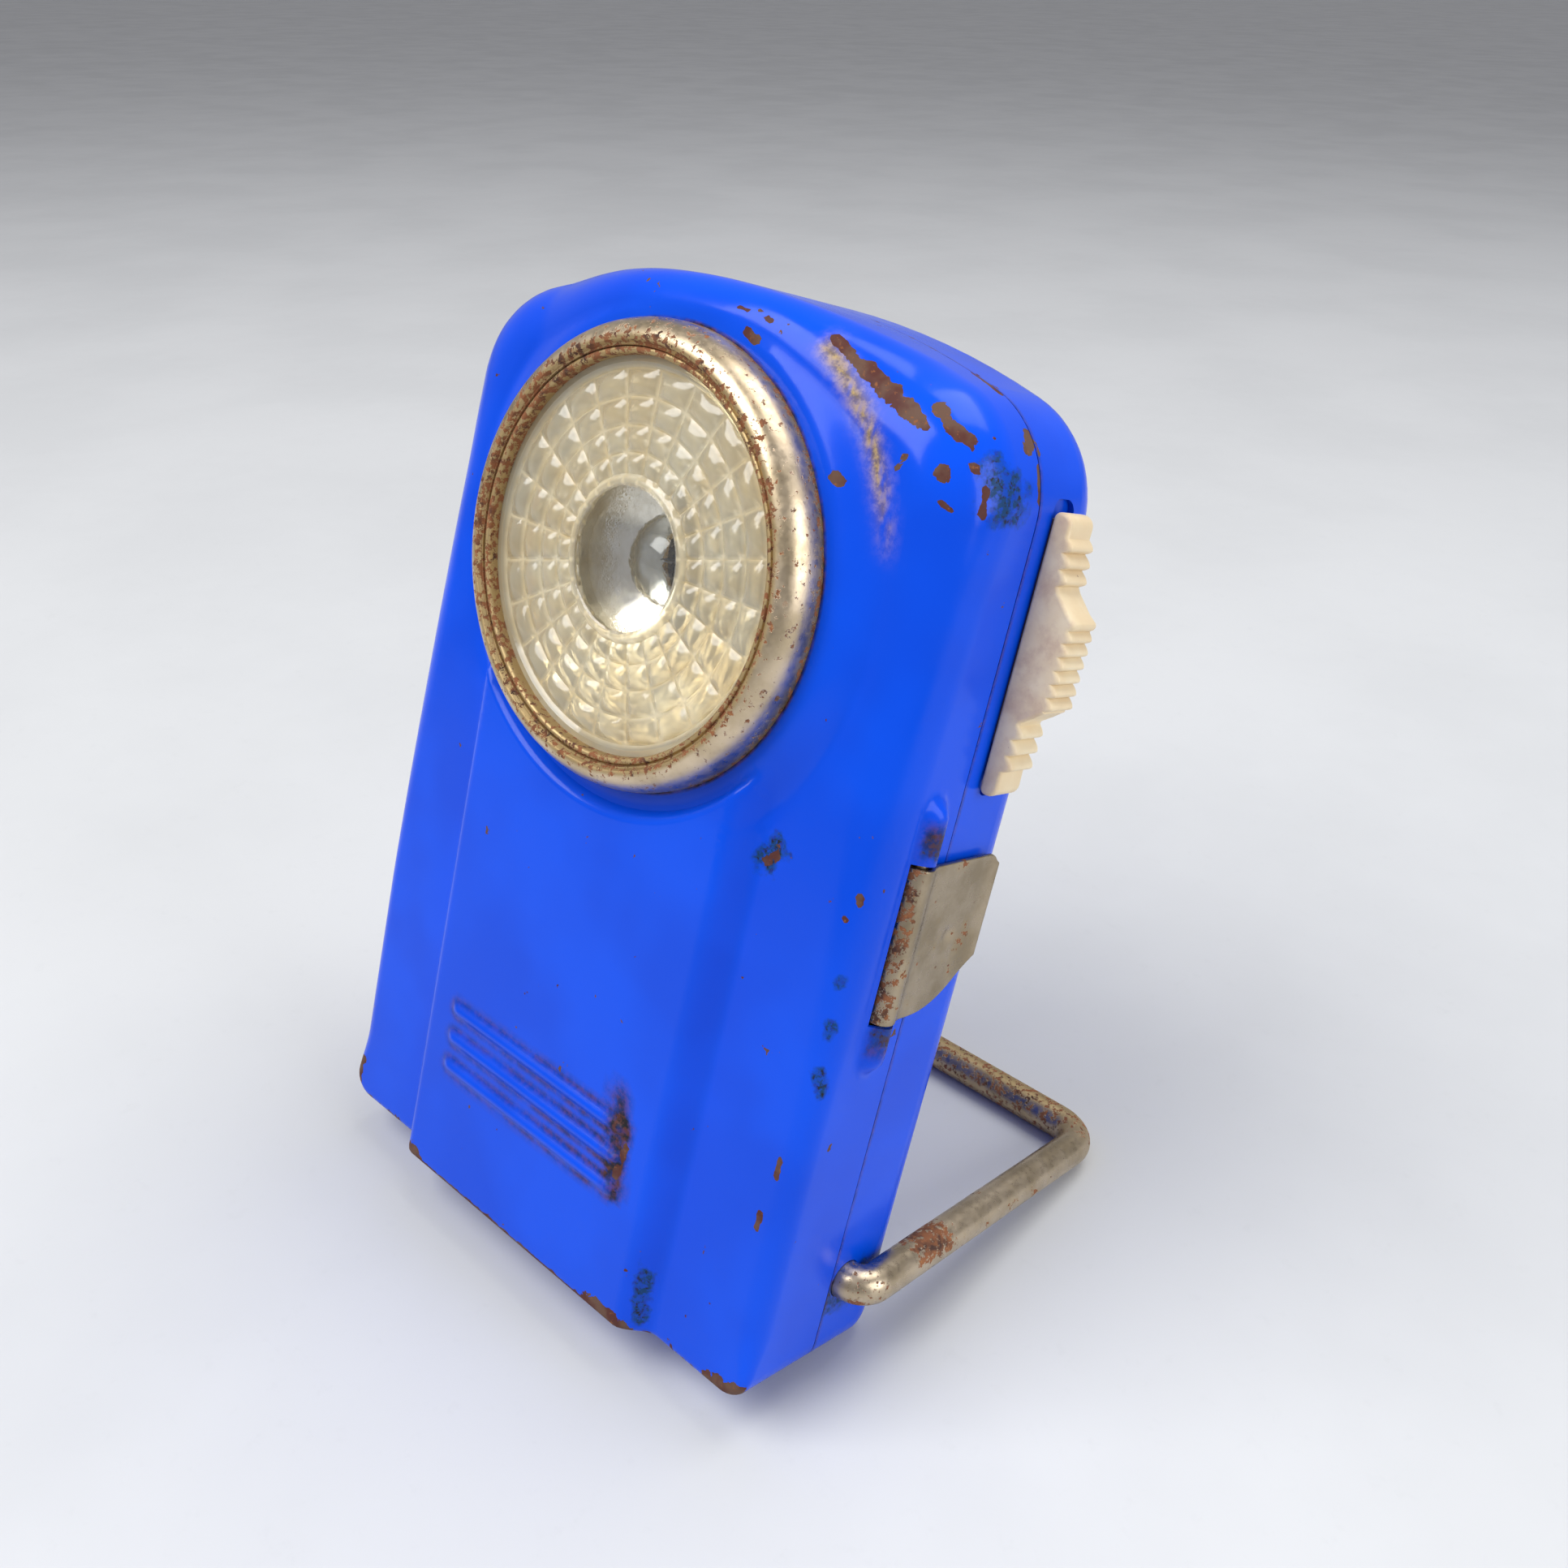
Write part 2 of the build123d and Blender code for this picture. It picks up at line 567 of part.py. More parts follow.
def side_latch():
    """Sheet latch: a roll around its pin and a flange that lies over the rear shell."""
    flange_near = LATCH_X + LATCH_STANDOFF
    flange_far = flange_near + LATCH_SHEET
    roll = rod_z(LATCH_X, LATCH_Y, LATCH_ROLL, LATCH_LOW, LATCH_HIGH)
    lip_start = LATCH_END - 2.2
    plan = make_face(Polyline(
        (flange_near, LATCH_Y + 0.9),
        (flange_near, lip_start),
        (flange_near + 0.45, LATCH_END),
        (flange_far + 0.45, LATCH_END),
        (flange_far, lip_start),
        (flange_far, LATCH_Y + 0.9),
        close=True,
    ))
    flange = prism_z(plan, LATCH_LOW, LATCH_HIGH)
    heel = LATCH_Y + 3.4
    outline = make_face([
        Line((LATCH_Y, LATCH_LOW), (heel, LATCH_LOW)),
        ThreePointArc((heel, LATCH_LOW), (heel + 5.4, LATCH_LOW + 1.7), (LATCH_END, LATCH_LOW + 5.2)),
        Line((LATCH_END, LATCH_LOW + 5.2), (LATCH_END, LATCH_HIGH - 0.3)),
        Line((LATCH_END, LATCH_HIGH - 0.3), (LATCH_Y, LATCH_HIGH - 0.3)),
        Line((LATCH_Y, LATCH_HIGH - 0.3), (LATCH_Y, LATCH_LOW)),
    ])
    flange = flange & prism_x(outline, LATCH_X - 1, LATCH_X + 4)
    latch = roll + flange
    latch = latch - rod_z(LATCH_X, LATCH_Y, LATCH_PIN_RADIUS + RUNNING, LATCH_LOW, LATCH_HIGH)
    middle = (LATCH_LOW + LATCH_HIGH) / 2
    dimple_y = (LATCH_Y + LATCH_END) / 2 + 0.6
    return latch - Pos(flange_far + DIMPLE_RADIUS - DIMPLE_DEPTH, dimple_y, middle) * Sphere(DIMPLE_RADIUS)


def latch_pin():
    """Wire pin that lies in the bead of the front shell."""
    return rod_z(LATCH_X, LATCH_Y, LATCH_PIN_RADIUS, BEAD_LOW + BEAD_RADIUS + 0.2, BEAD_HIGH - BEAD_RADIUS - 0.2)


# ---------------------------------------------------------------- slide switch
def slider_profile():
    """Side profile of the thumb slider, as (X, Z) points from its foot up to its top."""
    wall = CASE_WIDTH / 2
    length = SLIDER_HIGH - SLIDER_LOW

    def ribs(start, end, count, out_start, out_end):
        """Rounded teeth along a slope from one height and reach to another."""
        teeth = []
        for index in range(count):
            base = start + (end - start) * index / count
            tip = start + (end - start) * (index + 0.62) / count
            reach = out_start + (out_end - out_start) * index / count
            tooth = out_start + (out_end - out_start) * (index + 0.62) / count + RIB_TOOTH
            teeth += [(wall + reach, base), (wall + tooth, tip - 0.25), (wall + tooth, tip + 0.2)]
        return teeth

    foot_end = SLIDER_LOW + 0.075 * length
    low_end = SLIDER_LOW + 0.26 * length
    rest_start = SLIDER_LOW + 0.33 * length
    peak = SLIDER_LOW + 0.66 * length
    slope_end = SLIDER_LOW + 0.745 * length
    points = [(wall + SLIDER_GAP, SLIDER_LOW + 0.7)]
    points += [(wall + SLIDER_GAP + 0.5, SLIDER_LOW), (wall + SLIDER_BASE - 0.6, SLIDER_LOW)]
    points += [(wall + SLIDER_BASE, SLIDER_LOW + 0.7)]
    points += ribs(foot_end, low_end, 3, SLIDER_BASE, SLIDER_BASE + 0.4)
    points += ribs(rest_start, peak - 1.0, 4, SLIDER_LEDGE, SLIDER_PEAK - 0.7)
    points += [(wall + SLIDER_PEAK, peak), (wall + SLIDER_PEAK - 0.2, peak + 0.6)]
    points += ribs(slope_end, SLIDER_HIGH - 1.2, 3, SLIDER_BROW, SLIDER_BASE)
    points += [(wall + SLIDER_BASE, SLIDER_HIGH - 0.7), (wall + SLIDER_BASE - 0.6, SLIDER_HIGH)]
    points += [(wall + SLIDER_GAP + 0.5, SLIDER_HIGH), (wall + SLIDER_GAP, SLIDER_HIGH - 0.7)]
    return points


def switch_slider():
    """Moulded thumb slider with a ribbed thumb rest, and the tongue that runs in the pocket."""
    plan = Plane.XZ * make_face(Polyline(slider_profile(), close=True))
    slider = Pos(0, SLIDER_FRONT + SLIDER_WIDTH, 0) * extrude(plan, SLIDER_WIDTH)
    wall = CASE_WIDTH / 2
    middle = SLIDER_FRONT + SLIDER_WIDTH / 2
    outline = Pos(middle, (TONGUE_LOW + TONGUE_HIGH) / 2) * RectangleRounded(
        TONGUE_WIDTH, TONGUE_HIGH - TONGUE_LOW, 1.0
    )
    tongue = prism_x(outline, wall - POCKET_DEPTH + SLIDER_GAP, wall + SLIDER_GAP + 0.2)
    return slider + tongue


def slider_rivet():
    """Rivet that joins the slider to its spring plate through the slot."""
    middle = SLIDER_FRONT + SLIDER_WIDTH / 2
    tongue_face = CASE_WIDTH / 2 - POCKET_DEPTH + SLIDER_GAP
    plate_inner = tongue_face - PLATE_DROP - CONTACT_THICK
    shank = rod_x(middle, SLIDER_RIVET_Z, 0.7, plate_inner - 0.5, tongue_face)
    return shank + rod_x(middle, SLIDER_RIVET_Z, 1.4, plate_inner - 0.5, plate_inner)


def slider_spring_plate():
    """Brass plate carried by the rivet; it bridges the switch strip and the case."""
    middle = SLIDER_FRONT + SLIDER_WIDTH / 2
    outer = CASE_WIDTH / 2 - POCKET_DEPTH + SLIDER_GAP - PLATE_DROP
    plate = box_between(
        (outer - CONTACT_THICK, middle - PLATE_HALF, SLIDER_RIVET_Z - PLATE_REACH),
        (outer, middle + PLATE_HALF, SLIDER_RIVET_Z + PLATE_REACH),
    )
    return plate - rod_x(middle, SLIDER_RIVET_Z, 0.7, outer - 1, outer + 1)


# ---------------------------------------------------------------- wire stand
def stand_wire():
    """One bent wire: a stub into each side of the rear shell, two legs and a crossbar."""
    along = Vector(0, cos(radians(STAND_RISE)), sin(radians(STAND_RISE)))
    pivot = Vector(0, STAND_Y, STAND_Z)
    bar = pivot + along * STAND_LEG
    corners = [pivot + Vector(-PIVOT_END, 0, 0)]
    corners += [pivot + Vector(-STAND_X, 0, 0), bar + Vector(-STAND_X, 0, 0)]
    corners += [bar + Vector(STAND_X, 0, 0), pivot + Vector(STAND_X, 0, 0)]
    corners += [pivot + Vector(PIVOT_END, 0, 0)]
    path = FilletPolyline(corners, radius=[PIVOT_BEND, STAND_BEND, STAND_BEND, PIVOT_BEND])
    section = Plane(origin=path @ 0, z_dir=path % 0) * Circle(WIRE_RADIUS)
    return sweep(section, path=path)


# ---------------------------------------------------------------- battery and contacts
BATTERY_TOP = BATTERY_FOOT + BATTERY_HEIGHT


def battery_case():
    """Card sleeve of the flat battery, with its three round cells showing in its corners."""
    depth = BATTERY_DEPTH
    middle_y = BATTERY_FRONT + depth / 2
    plan = Pos(0, middle_y) * RectangleRounded(BATTERY_WIDTH, depth, 5.0)
    block = prism_z(plan, BATTERY_FOOT, BATTERY_TOP)
    recess = prism_z(offset(plan, -0.8), BATTERY_TOP - SEAL_DEPTH, BATTERY_TOP + 1)
    return block - recess


def battery_seal():
    """Poured seal in the top of the sleeve."""
    middle_y = BATTERY_FRONT + BATTERY_DEPTH / 2
    plan = offset(Pos(0, middle_y) * RectangleRounded(BATTERY_WIDTH, BATTERY_DEPTH, 5.0), -0.8)
    return prism_z(plan, BATTERY_TOP - SEAL_DEPTH, BATTERY_TOP - 0.4)


def strip_block(points, width, centre_x):
    """A thin contact strip: a folded line in Y and Z, given its thickness and its width."""
    line = Polyline(points)
    section = make_face(offset(line, CONTACT_THICK / 2, side=Side.BOTH, kind=Kind.INTERSECTION))
    return prism_x(section, centre_x - width / 2, centre_x + width / 2)


def battery_short_contact():
    """Short brass strip of the battery, standing up towards the lamp strip."""
    foot = BATTERY_TOP - 0.4 + CONTACT_THICK / 2
    return strip_block(
        [(SHORT_CONTACT_Y, foot), (SHORT_CONTACT_Y, foot + 2.5), (SHORT_CONTACT_Y + 1.6, foot + 5.0)],
        6.0, SHORT_CONTACT_X,
    )


def battery_long_contact():
    """Long brass strip of the battery, leaning over towards the switch strip."""
    foot = BATTERY_TOP - 0.4 + CONTACT_THICK / 2
    return strip_block(
        [(SHORT_CONTACT_Y, foot), (SHORT_CONTACT_Y, foot + 2.5), (SHORT_CONTACT_Y + 1.6, foot + 7.0)],
        6.0, LONG_CONTACT_X,
    )


def contact_board():
    """Pressed fibre board that carries the two contact strips."""
    board = box_between(
        (BOARD_LEFT, BOARD_FACE, BOARD_LOW), (BOARD_RIGHT, BOARD_FACE + BOARD_THICK, BOARD_HIGH)
    )
    board = chamfer(board.edges().filter_by(Axis.Y), 2.0)
    for x, z in strip_rivet_places():
        board = board - rod_y(x, z, STRIP_RIVET, BOARD_FACE - 1, CASE_BACK)
    return board


def board_clips():
    """A pair of folded clips, spot-welded inside the back, that hold the board's side edges."""
    back = CASE_BACK - SHEET
    clips = []
    for side, edge in ((-1, BOARD_LEFT), (1, BOARD_RIGHT)):
        foot_far = edge + side * 3.0
        low = (min(edge, foot_far), back - CONTACT_THICK, CLIP_LOW)
        high = (max(edge, foot_far), back, CLIP_HIGH)
        foot = box_between(low, high)
        riser_far = edge + side * CONTACT_THICK
        riser = box_between(
            (min(edge, riser_far), BOARD_FACE - CONTACT_THICK, CLIP_LOW),
            (max(edge, riser_far), back, CLIP_HIGH),
        )
        tab_far = edge - side * 1.2
        tab = box_between(
            (min(riser_far, tab_far), BOARD_FACE - CONTACT_THICK, CLIP_LOW),
            (max(riser_far, tab_far), BOARD_FACE, CLIP_HIGH),
        )
        clips.append(foot + riser + tab)
    return clips[0] + clips[1]


def strip_rivet_places():
    """Centres of the rivets that fix the two strips to the board."""
    return [(SHORT_CONTACT_X, BOARD_LOW + 6.5), (LAMP_STRIP_TOP_X, LENS_Z + 6.0), (LONG_CONTACT_X + 1, SWITCH_STRIP_Z)]


def strip_rivets():
    """Small hollow rivets through the board, one group of separate solids."""
    rivets = []
    for x, z in strip_rivet_places():
        front_face = BOARD_FACE - CONTACT_THICK
        rivet = rod_y(x, z, STRIP_RIVET, front_face - 0.4, BOARD_FACE + BOARD_THICK)
        rivet = rivet + rod_y(x, z, STRIP_RIVET + 0.6, front_face - 0.4, front_face)
        rivets.append(rivet)
    return Compound(children=rivets)


def lamp_strip():
    """Brass strip from the battery's short contact up to the bulb's tip."""
    face = BOARD_FACE
    low = box_between(
        (SHORT_CONTACT_X - 3, face - CONTACT_THICK, BOARD_LOW - 1.0), (SHORT_CONTACT_X + 3, face, BOARD_LOW + 9)
    )
    link = make_face(Polyline(
        (SHORT_CONTACT_X - 3, BOARD_LOW + 9), (SHORT_CONTACT_X + 3, BOARD_LOW + 9),
        (LAMP_STRIP_TOP_X + 2.5, LENS_Z - 2), (LAMP_STRIP_TOP_X + 2.5, LENS_Z + 8),
        (LAMP_STRIP_TOP_X - 2.5, LENS_Z + 8), (LAMP_STRIP_TOP_X - 2.5, LENS_Z - 2), close=True,
    ))
    strip = low + prism_y(link, face - CONTACT_THICK, face)
    for x, z in strip_rivet_places()[:2]:
        strip = strip - rod_y(x, z, STRIP_RIVET, face - 1, face + 1)
    return strip


def switch_strip():
    """Brass strip from the battery's long contact across to the inside of the slider."""
    face = BOARD_FACE
    level = SWITCH_STRIP_Z
    arm = box_between((LONG_CONTACT_X - 2, face - CONTACT_THICK, level - 2), (SWITCH_STRIP_X, face, level + 2))
    tab = box_between(
        (LONG_CONTACT_X - 2, face - CONTACT_THICK, BOARD_LOW - 1.0), (LONG_CONTACT_X + 4, face, level + 2)
    )
    wing = box_between(
        (SWITCH_STRIP_X - CONTACT_THICK, SLIDER_FRONT + 0.6, level - 2), (SWITCH_STRIP_X, face, level + 2)
    )
    x, z = strip_rivet_places()[2]
    return arm + tab + wing - rod_y(x, z, STRIP_RIVET, face - 1, face + 1)


# ---------------------------------------------------------------- standing pose and export
def standing_lean():
    """Angle by which the case leans back when its rear foot edge and the crossbar both touch down."""
    bar_y = STAND_Y + STAND_LEG * cos(radians(STAND_RISE))
    bar_z = STAND_Z + STAND_LEG * sin(radians(STAND_RISE))
    span_y = bar_y - (CASE_BACK - REAR_EDGE)
    span_z = bar_z - REAR_EDGE
    drop = REAR_EDGE - WIRE_RADIUS
    return degrees(asin(drop / hypot(span_y, span_z)) + atan2(span_z, span_y))


NODES = {
    "front_case": front_case,
    "rear_case": rear_case,
    "bezel_ring": bezel_ring,
    "lens": lens,
    "lens_retaining_ring": lens_retaining_ring,
    "reflector": reflector,
    "lamp_holder": lamp_holder,
    "bulb_glass": bulb_glass,
    "bulb_cap": bulb_cap,
    "bulb_insulator": bulb_insulator,
    "bulb_tip_contact": bulb_tip_contact,
    "bulb_stem": bulb_stem,
    "bulb_lead_wires": bulb_lead_wires,
    "bulb_filament": bulb_filament,
    "cover_hinge_leaf": lambda: hinge_leaf((1, 3), -1),
    "case_hinge_leaf": lambda: hinge_leaf((0, 2, 4), 1),
    "hinge_pin": hinge_pin,
    "side_latch": side_latch,
    "latch_pin": latch_pin,
    "switch_slider": switch_slider,
    "slider_rivet": slider_rivet,
    "slider_spring_plate": slider_spring_plate,
    "stand_wire": stand_wire,
    "battery_case": battery_case,
    "battery_seal": battery_seal,
    "battery_short_contact": battery_short_contact,
    "battery_long_contact": battery_long_contact,
    "contact_board": contact_board,
    "board_clips": board_clips,
    "strip_rivets": strip_rivets,
    "lamp_strip": lamp_strip,
    "switch_strip": switch_strip,
}


def build():
    """Make every node, lean the torch back onto its stand and centre it over the origin."""
    lean = Rot(-standing_lean(), 0, 0)
    shapes = {name: lean * make() for name, make in NODES.items()}
    extent = Compound(children=[Compound(shape.solids()) for shape in shapes.values()]).bounding_box()
    centre = Pos(-extent.center().X, -extent.center().Y, -extent.min.Z)
    return {name: centre * shape for name, shape in shapes.items()}


os.makedirs("parts", exist_ok=True)
for node_name, node_shape in build().items():
    export_step(node_shape, f"parts/{node_name}.step")
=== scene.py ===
import json
from math import ceil, cos, degrees, pi, radians, sin, sqrt

import bmesh
import bpy
import numpy as np
from mathutils import Matrix, Vector
from mathutils.geometry import delaunay_2d_cdt


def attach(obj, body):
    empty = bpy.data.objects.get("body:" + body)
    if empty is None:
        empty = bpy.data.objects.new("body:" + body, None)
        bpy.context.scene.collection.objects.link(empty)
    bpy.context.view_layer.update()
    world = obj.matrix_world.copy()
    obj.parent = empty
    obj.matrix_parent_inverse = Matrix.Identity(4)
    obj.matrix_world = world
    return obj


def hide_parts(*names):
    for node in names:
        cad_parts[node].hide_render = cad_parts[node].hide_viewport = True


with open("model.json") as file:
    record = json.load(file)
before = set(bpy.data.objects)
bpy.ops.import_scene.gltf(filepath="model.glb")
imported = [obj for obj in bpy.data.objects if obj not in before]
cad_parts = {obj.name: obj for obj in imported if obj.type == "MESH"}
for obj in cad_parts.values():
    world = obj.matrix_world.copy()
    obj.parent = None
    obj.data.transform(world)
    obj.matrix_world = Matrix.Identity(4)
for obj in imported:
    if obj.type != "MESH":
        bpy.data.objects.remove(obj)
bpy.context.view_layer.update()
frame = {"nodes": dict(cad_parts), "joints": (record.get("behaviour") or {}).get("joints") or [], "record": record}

# A painted pocket torch leaning back on its wire stand.
#
# Shapes are worked out in the case frame, in millimetres: X to the right as seen from the lens
# side, Y from the lens side to the back, Z up the case from its foot. case_to_row carries them
# into the row frame, where the case leans back.
MM = 0.001

record = frame["record"]
joints = {joint["name"]: joint for joint in frame["joints"]}
mounts = {mount["name"]: mount for mount in record["mounts"]}

FOOT_MIDDLE = 14.0  # Y of the foot_face mount in the case frame
CASE_UP = -Vector(joints["cover_hinge"]["axis"])
CASE_BACK = CASE_UP.cross(Vector((1, 0, 0)))
CASE_ORIGIN = Vector(mounts["foot_face"]["pos_m"]) - FOOT_MIDDLE * MM * CASE_BACK
case_axes = Matrix((Vector((1, 0, 0)), CASE_BACK, CASE_UP)).transposed()
case_to_row = Matrix.Translation(CASE_ORIGIN) @ (case_axes * MM).to_4x4()
row_to_case = case_to_row.inverted()


def case_box(node):
    """Lowest and highest corner of a CAD node in the case frame, in millimetres."""
    points = np.array([row_to_case @ v.co for v in frame["nodes"][node].data.vertices])
    return Vector(points.min(0)), Vector(points.max(0))


# ---- sizes taken from the frame (mm)
front_high = case_box("front_case")[1]
rear_high = case_box("rear_case")[1]
bezel_low, bezel_high = case_box("bezel_ring")
lens_low, lens_high = case_box("lens")
slider_low, slider_high = case_box("switch_slider")
latch_low, latch_high = case_box("side_latch")
pin_low, pin_high = case_box("latch_pin")
wire_pivot = row_to_case @ Vector(joints["stand_pivot"]["pos_m"])

HALF_WIDTH = rear_high.x
HEIGHT = rear_high.z
SEAM = front_high.y
LENS_Z = (bezel_low.z + bezel_high.z) / 2
BEZEL_RADIUS = bezel_high.x
BEZEL_FRONT = bezel_low.y
LENS_RADIUS = lens_high.x
LENS_FRONT = lens_low.y
LENS_BACK = lens_high.y
LATCH_Y = (pin_low.y + pin_high.y) / 2
LATCH_PIN_MIDDLE = (latch_low.z + latch_high.z) / 2
WIRE_Y = wire_pivot.y
WIRE_Z = wire_pivot.z

# ---- sizes of the pressed shell (mm)
SHEET = 0.5
CROWN_RADIUS = 90.0
CORNER_RADIUS = 11.5
FOOT_RADIUS = 3.2
FOOT_EDGE = 1.0  # rounding of the front edge along the foot
SIDE_EDGE = 2.6  # the same edge low on the sides
SHOULDER_EDGE = 7.2  # the same edge at the upper corners
SHOULDER_START = 30.0  # Z where it starts to grow, and where it is full
SHOULDER_END = 94.0
CROWN_EDGE = 3.6  # the same edge over the lens

PANEL_RISE = 2.8
PANEL_FLAT = 18.4  # half width of the panel's flat
PANEL_SKIRT = 22.2  # half width where its sides run out
BOSS_RISE = 1.5
BOSS_FLAT = 24.2  # radius of the boss's flat
BOSS_SKIRT = 28.4  # radius where the boss runs out
HOLE_RADIUS = 21.5
CREASE_DEPTH = 0.12

RIB_LEVELS = (15.0, 18.6, 22.2)
RIB_HALF = 14.0
RIB_RADIUS = 1.15
RIB_RISE = 0.52

SEAM_REACH = 0.15  # how far the shell's rear edge closes the seam's gap
BEAD_MARGIN = 0.2  # how far the bead runs past the latch's pin
BEAD_RISE = 1.5
BEAD_REACH = 2.1
BEAD_START = pin_low.z - BEAD_MARGIN
BEAD_END = pin_high.z + BEAD_MARGIN
WINDOW_HALF = 1.9
WINDOW_PLAY = 0.3
WINDOW_LOW = latch_low.z - WINDOW_PLAY
WINDOW_HIGH = latch_high.z + WINDOW_PLAY

# ---- how closely its points lie (mm)
OUTLINE_STEP = 0.6
REAR_ROWS = 5  # rows of points on the side wall, behind the latch's window
WINDOW_ROWS = 15  # rows across the window
EDGE_ROWS = 12  # rows over the rounded front edge
EDGE_ROOM = 0.3  # wall kept straight before the rounded edge
AROUND = 200  # points round the lens hole, and in each ring round the boss
RING_START = 22.3  # the smallest ring
RING_STEP = 0.45
FOLD_COLUMNS = 15  # columns of points across each sloped side of the panel
FOLD_SPREAD = 0.6  # how far they run past the slope
FOLD_START = 1.8
FOLD_STEP = 1.0
RIB_STEP_X = 0.55
RIB_STEP_Z = 0.22
FINE_MARGIN = 1.6  # how far the fine points run past the ribs and the boss
PLAIN_STEP = 0.9  # on the plain areas
PLAIN_HALF = 34.0
PLAIN_START = 1.9
RIM_GAP = 0.45  # no point lies closer than this to the face's rim


def ease(value, start, end):
    """0 before start, 1 after end, and a smooth rise between."""
    t = np.clip((np.asarray(value, float) - start) / (end - start), 0, 1)
    return t * t * (3 - 2 * t)


def stretch(start, end, step):
    """Evenly spaced values from start up to, but without, end."""
    count = max(1, ceil(abs(end - start) / step))
    return np.linspace(start, end, count + 1)[:-1]


# ---- mesh helpers
def add_object(name, data):
    """A new object, linked into the scene."""
    made = bpy.data.objects.new(name, data)
    bpy.context.scene.collection.objects.link(made)
    return made


def mesh_piece(name, points, faces, body, stands_for=(), smooth_below=40):
    """A mesh given in case-frame millimetres, placed in the row frame and riding its body."""
    mesh = bpy.data.meshes.new(name)
    mesh.from_pydata([case_to_row @ Vector(p) for p in points], [], faces)
    mesh.validate()
    mesh.update()
    piece = add_object(name, mesh)
    finish_shading(piece, smooth_below)
    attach(piece, body)
    if stands_for:
        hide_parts(*stands_for)
    return piece


def finish_shading(piece, smooth_below):
    """Smooth shading, apart from sharp edges and the many-sided caps."""
    mesh = piece.data
    mesh.polygons.foreach_set("use_smooth", [len(face.vertices) < 9 for face in mesh.polygons])
    mesh.set_sharp_from_angle(angle=radians(smooth_below))


def apply_modifiers(piece, smooth_below=40):
    """Turn the modified shape into the piece's own mesh."""
    bpy.context.view_layer.update()
    depsgraph = bpy.context.evaluated_depsgraph_get()
    evaluated = piece.evaluated_get(depsgraph)
    made = bpy.data.meshes.new_from_object(evaluated, preserve_all_data_layers=True,
                                           depsgraph=depsgraph)
    piece.modifiers.clear()
    piece.data = made
    finish_shading(piece, smooth_below)


def store(piece, name, values):
    """Keep one number per vertex for the material to read."""
    attribute = piece.data.attributes.new(name, "FLOAT", "POINT")
    attribute.data.foreach_set("value", np.asarray(values, np.float32))


def grid_faces(rows, columns, closed=False):
    """Quads over a grid of points stored row after row; closed joins the last column to the first."""
    faces = []
    wide = columns if closed else columns - 1
    for row in range(rows - 1):
        for column in range(wide):
            right = (column + 1) % columns
            low = row * columns
            faces.append((low + column, low + right, low + columns + right, low + columns + column))
    return faces


def capped_tube(rows, columns):
    """Quads over a closed tube of points stored row after row, and a cap at each end."""
    faces = grid_faces(rows, columns, closed=True)
    faces.append(tuple(range(columns)))
    faces.append(tuple(reversed(range((rows - 1) * columns, rows * columns))))
    return faces


def lathe(name, profile, segments, body, stands_for, smooth_below=40):
    """A closed profile of (radius, Y) points, turned about the lens axis."""
    angles = np.linspace(0, 2 * pi, segments, endpoint=False)
    points = []
    for radius, y in profile:
        points += [(radius * cos(a), y, LENS_Z + radius * sin(a)) for a in angles]
    count = len(profile)
    faces = grid_faces(count, segments, closed=True)
    last = (count - 1) * segments
    for column in range(segments):
        right = (column + 1) % segments
        faces.append((last + column, last + right, right, column))
    piece = mesh_piece(name, points, faces, body, stands_for, smooth_below)
    return face_outwards(piece, smooth_below)


def face_outwards(piece, smooth_below=40, open_shell=False):
    """Make a piece's faces look outwards; an open shell's foremost face looks to the lens side."""
    work = bmesh.new()
    work.from_mesh(piece.data)
    bmesh.ops.recalc_face_normals(work, faces=work.faces)
    if open_shell:
        front = min(work.faces, key=lambda face: face.calc_center_median().dot(CASE_BACK))
        if front.normal.dot(CASE_BACK) > 0:
            bmesh.ops.reverse_faces(work, faces=work.faces)
    work.to_mesh(piece.data)
    work.free()
    finish_shading(piece, smooth_below)
    return piece


def arc(centre_x, centre_y, radius, start, end, steps):
    """Points on an arc, its angles in degrees."""
    angles = np.radians(np.linspace(start, end, steps + 1))
    return [(centre_x + radius * cos(a), centre_y + radius * sin(a)) for a in angles]


# ---- the case's outline
def outline(step):
    """Front-view outline as rows of X, Z and inward normal, from the foot's left end round."""
    half = HALF_WIDTH
    crown_z = HEIGHT - CROWN_RADIUS
    corner_x = half - CORNER_RADIUS
    corner_z = crown_z + sqrt((CROWN_RADIUS - CORNER_RADIUS) ** 2 - corner_x ** 2)
    meet = degrees(np.arctan2(corner_z - crown_z, corner_x))
    rows = []

    def line(x0, z0, x1, z1, normal, spacing):
        for t in stretch(0, 1, spacing / max(abs(x1 - x0), abs(z1 - z0))):
            rows.append((x0 + (x1 - x0) * t, z0 + (z1 - z0) * t, *normal))

    def bend(x, z, radius, start, end):
        for angle in np.radians(stretch(start, end, degrees(step / radius))):
            c, s = cos(angle), sin(angle)
            rows.append((x + radius * c, z + radius * s, -c, -s))

    foot = half - FOOT_RADIUS
    line(-foot, 0, foot, 0, (0, 1), step * 0.8)
    bend(foot, FOOT_RADIUS, FOOT_RADIUS, -90, 0)
    for low, high in ((FOOT_RADIUS, WINDOW_LOW), (WINDOW_LOW, WINDOW_HIGH), (WINDOW_HIGH, corner_z)):
        line(half, low, half, high, (-1, 0), step)
    bend(corner_x, corner_z, CORNER_RADIUS, 0, meet)
    bend(0, crown_z, CROWN_RADIUS, meet, 180 - meet)
    bend(-corner_x, corner_z, CORNER_RADIUS, 180 - meet, 180)
    line(-half, corner_z, -half, FOOT_RADIUS, (1, 0), step)
    bend(-foot, FOOT_RADIUS, FOOT_RADIUS, 180, 270)
    return np.array(rows)


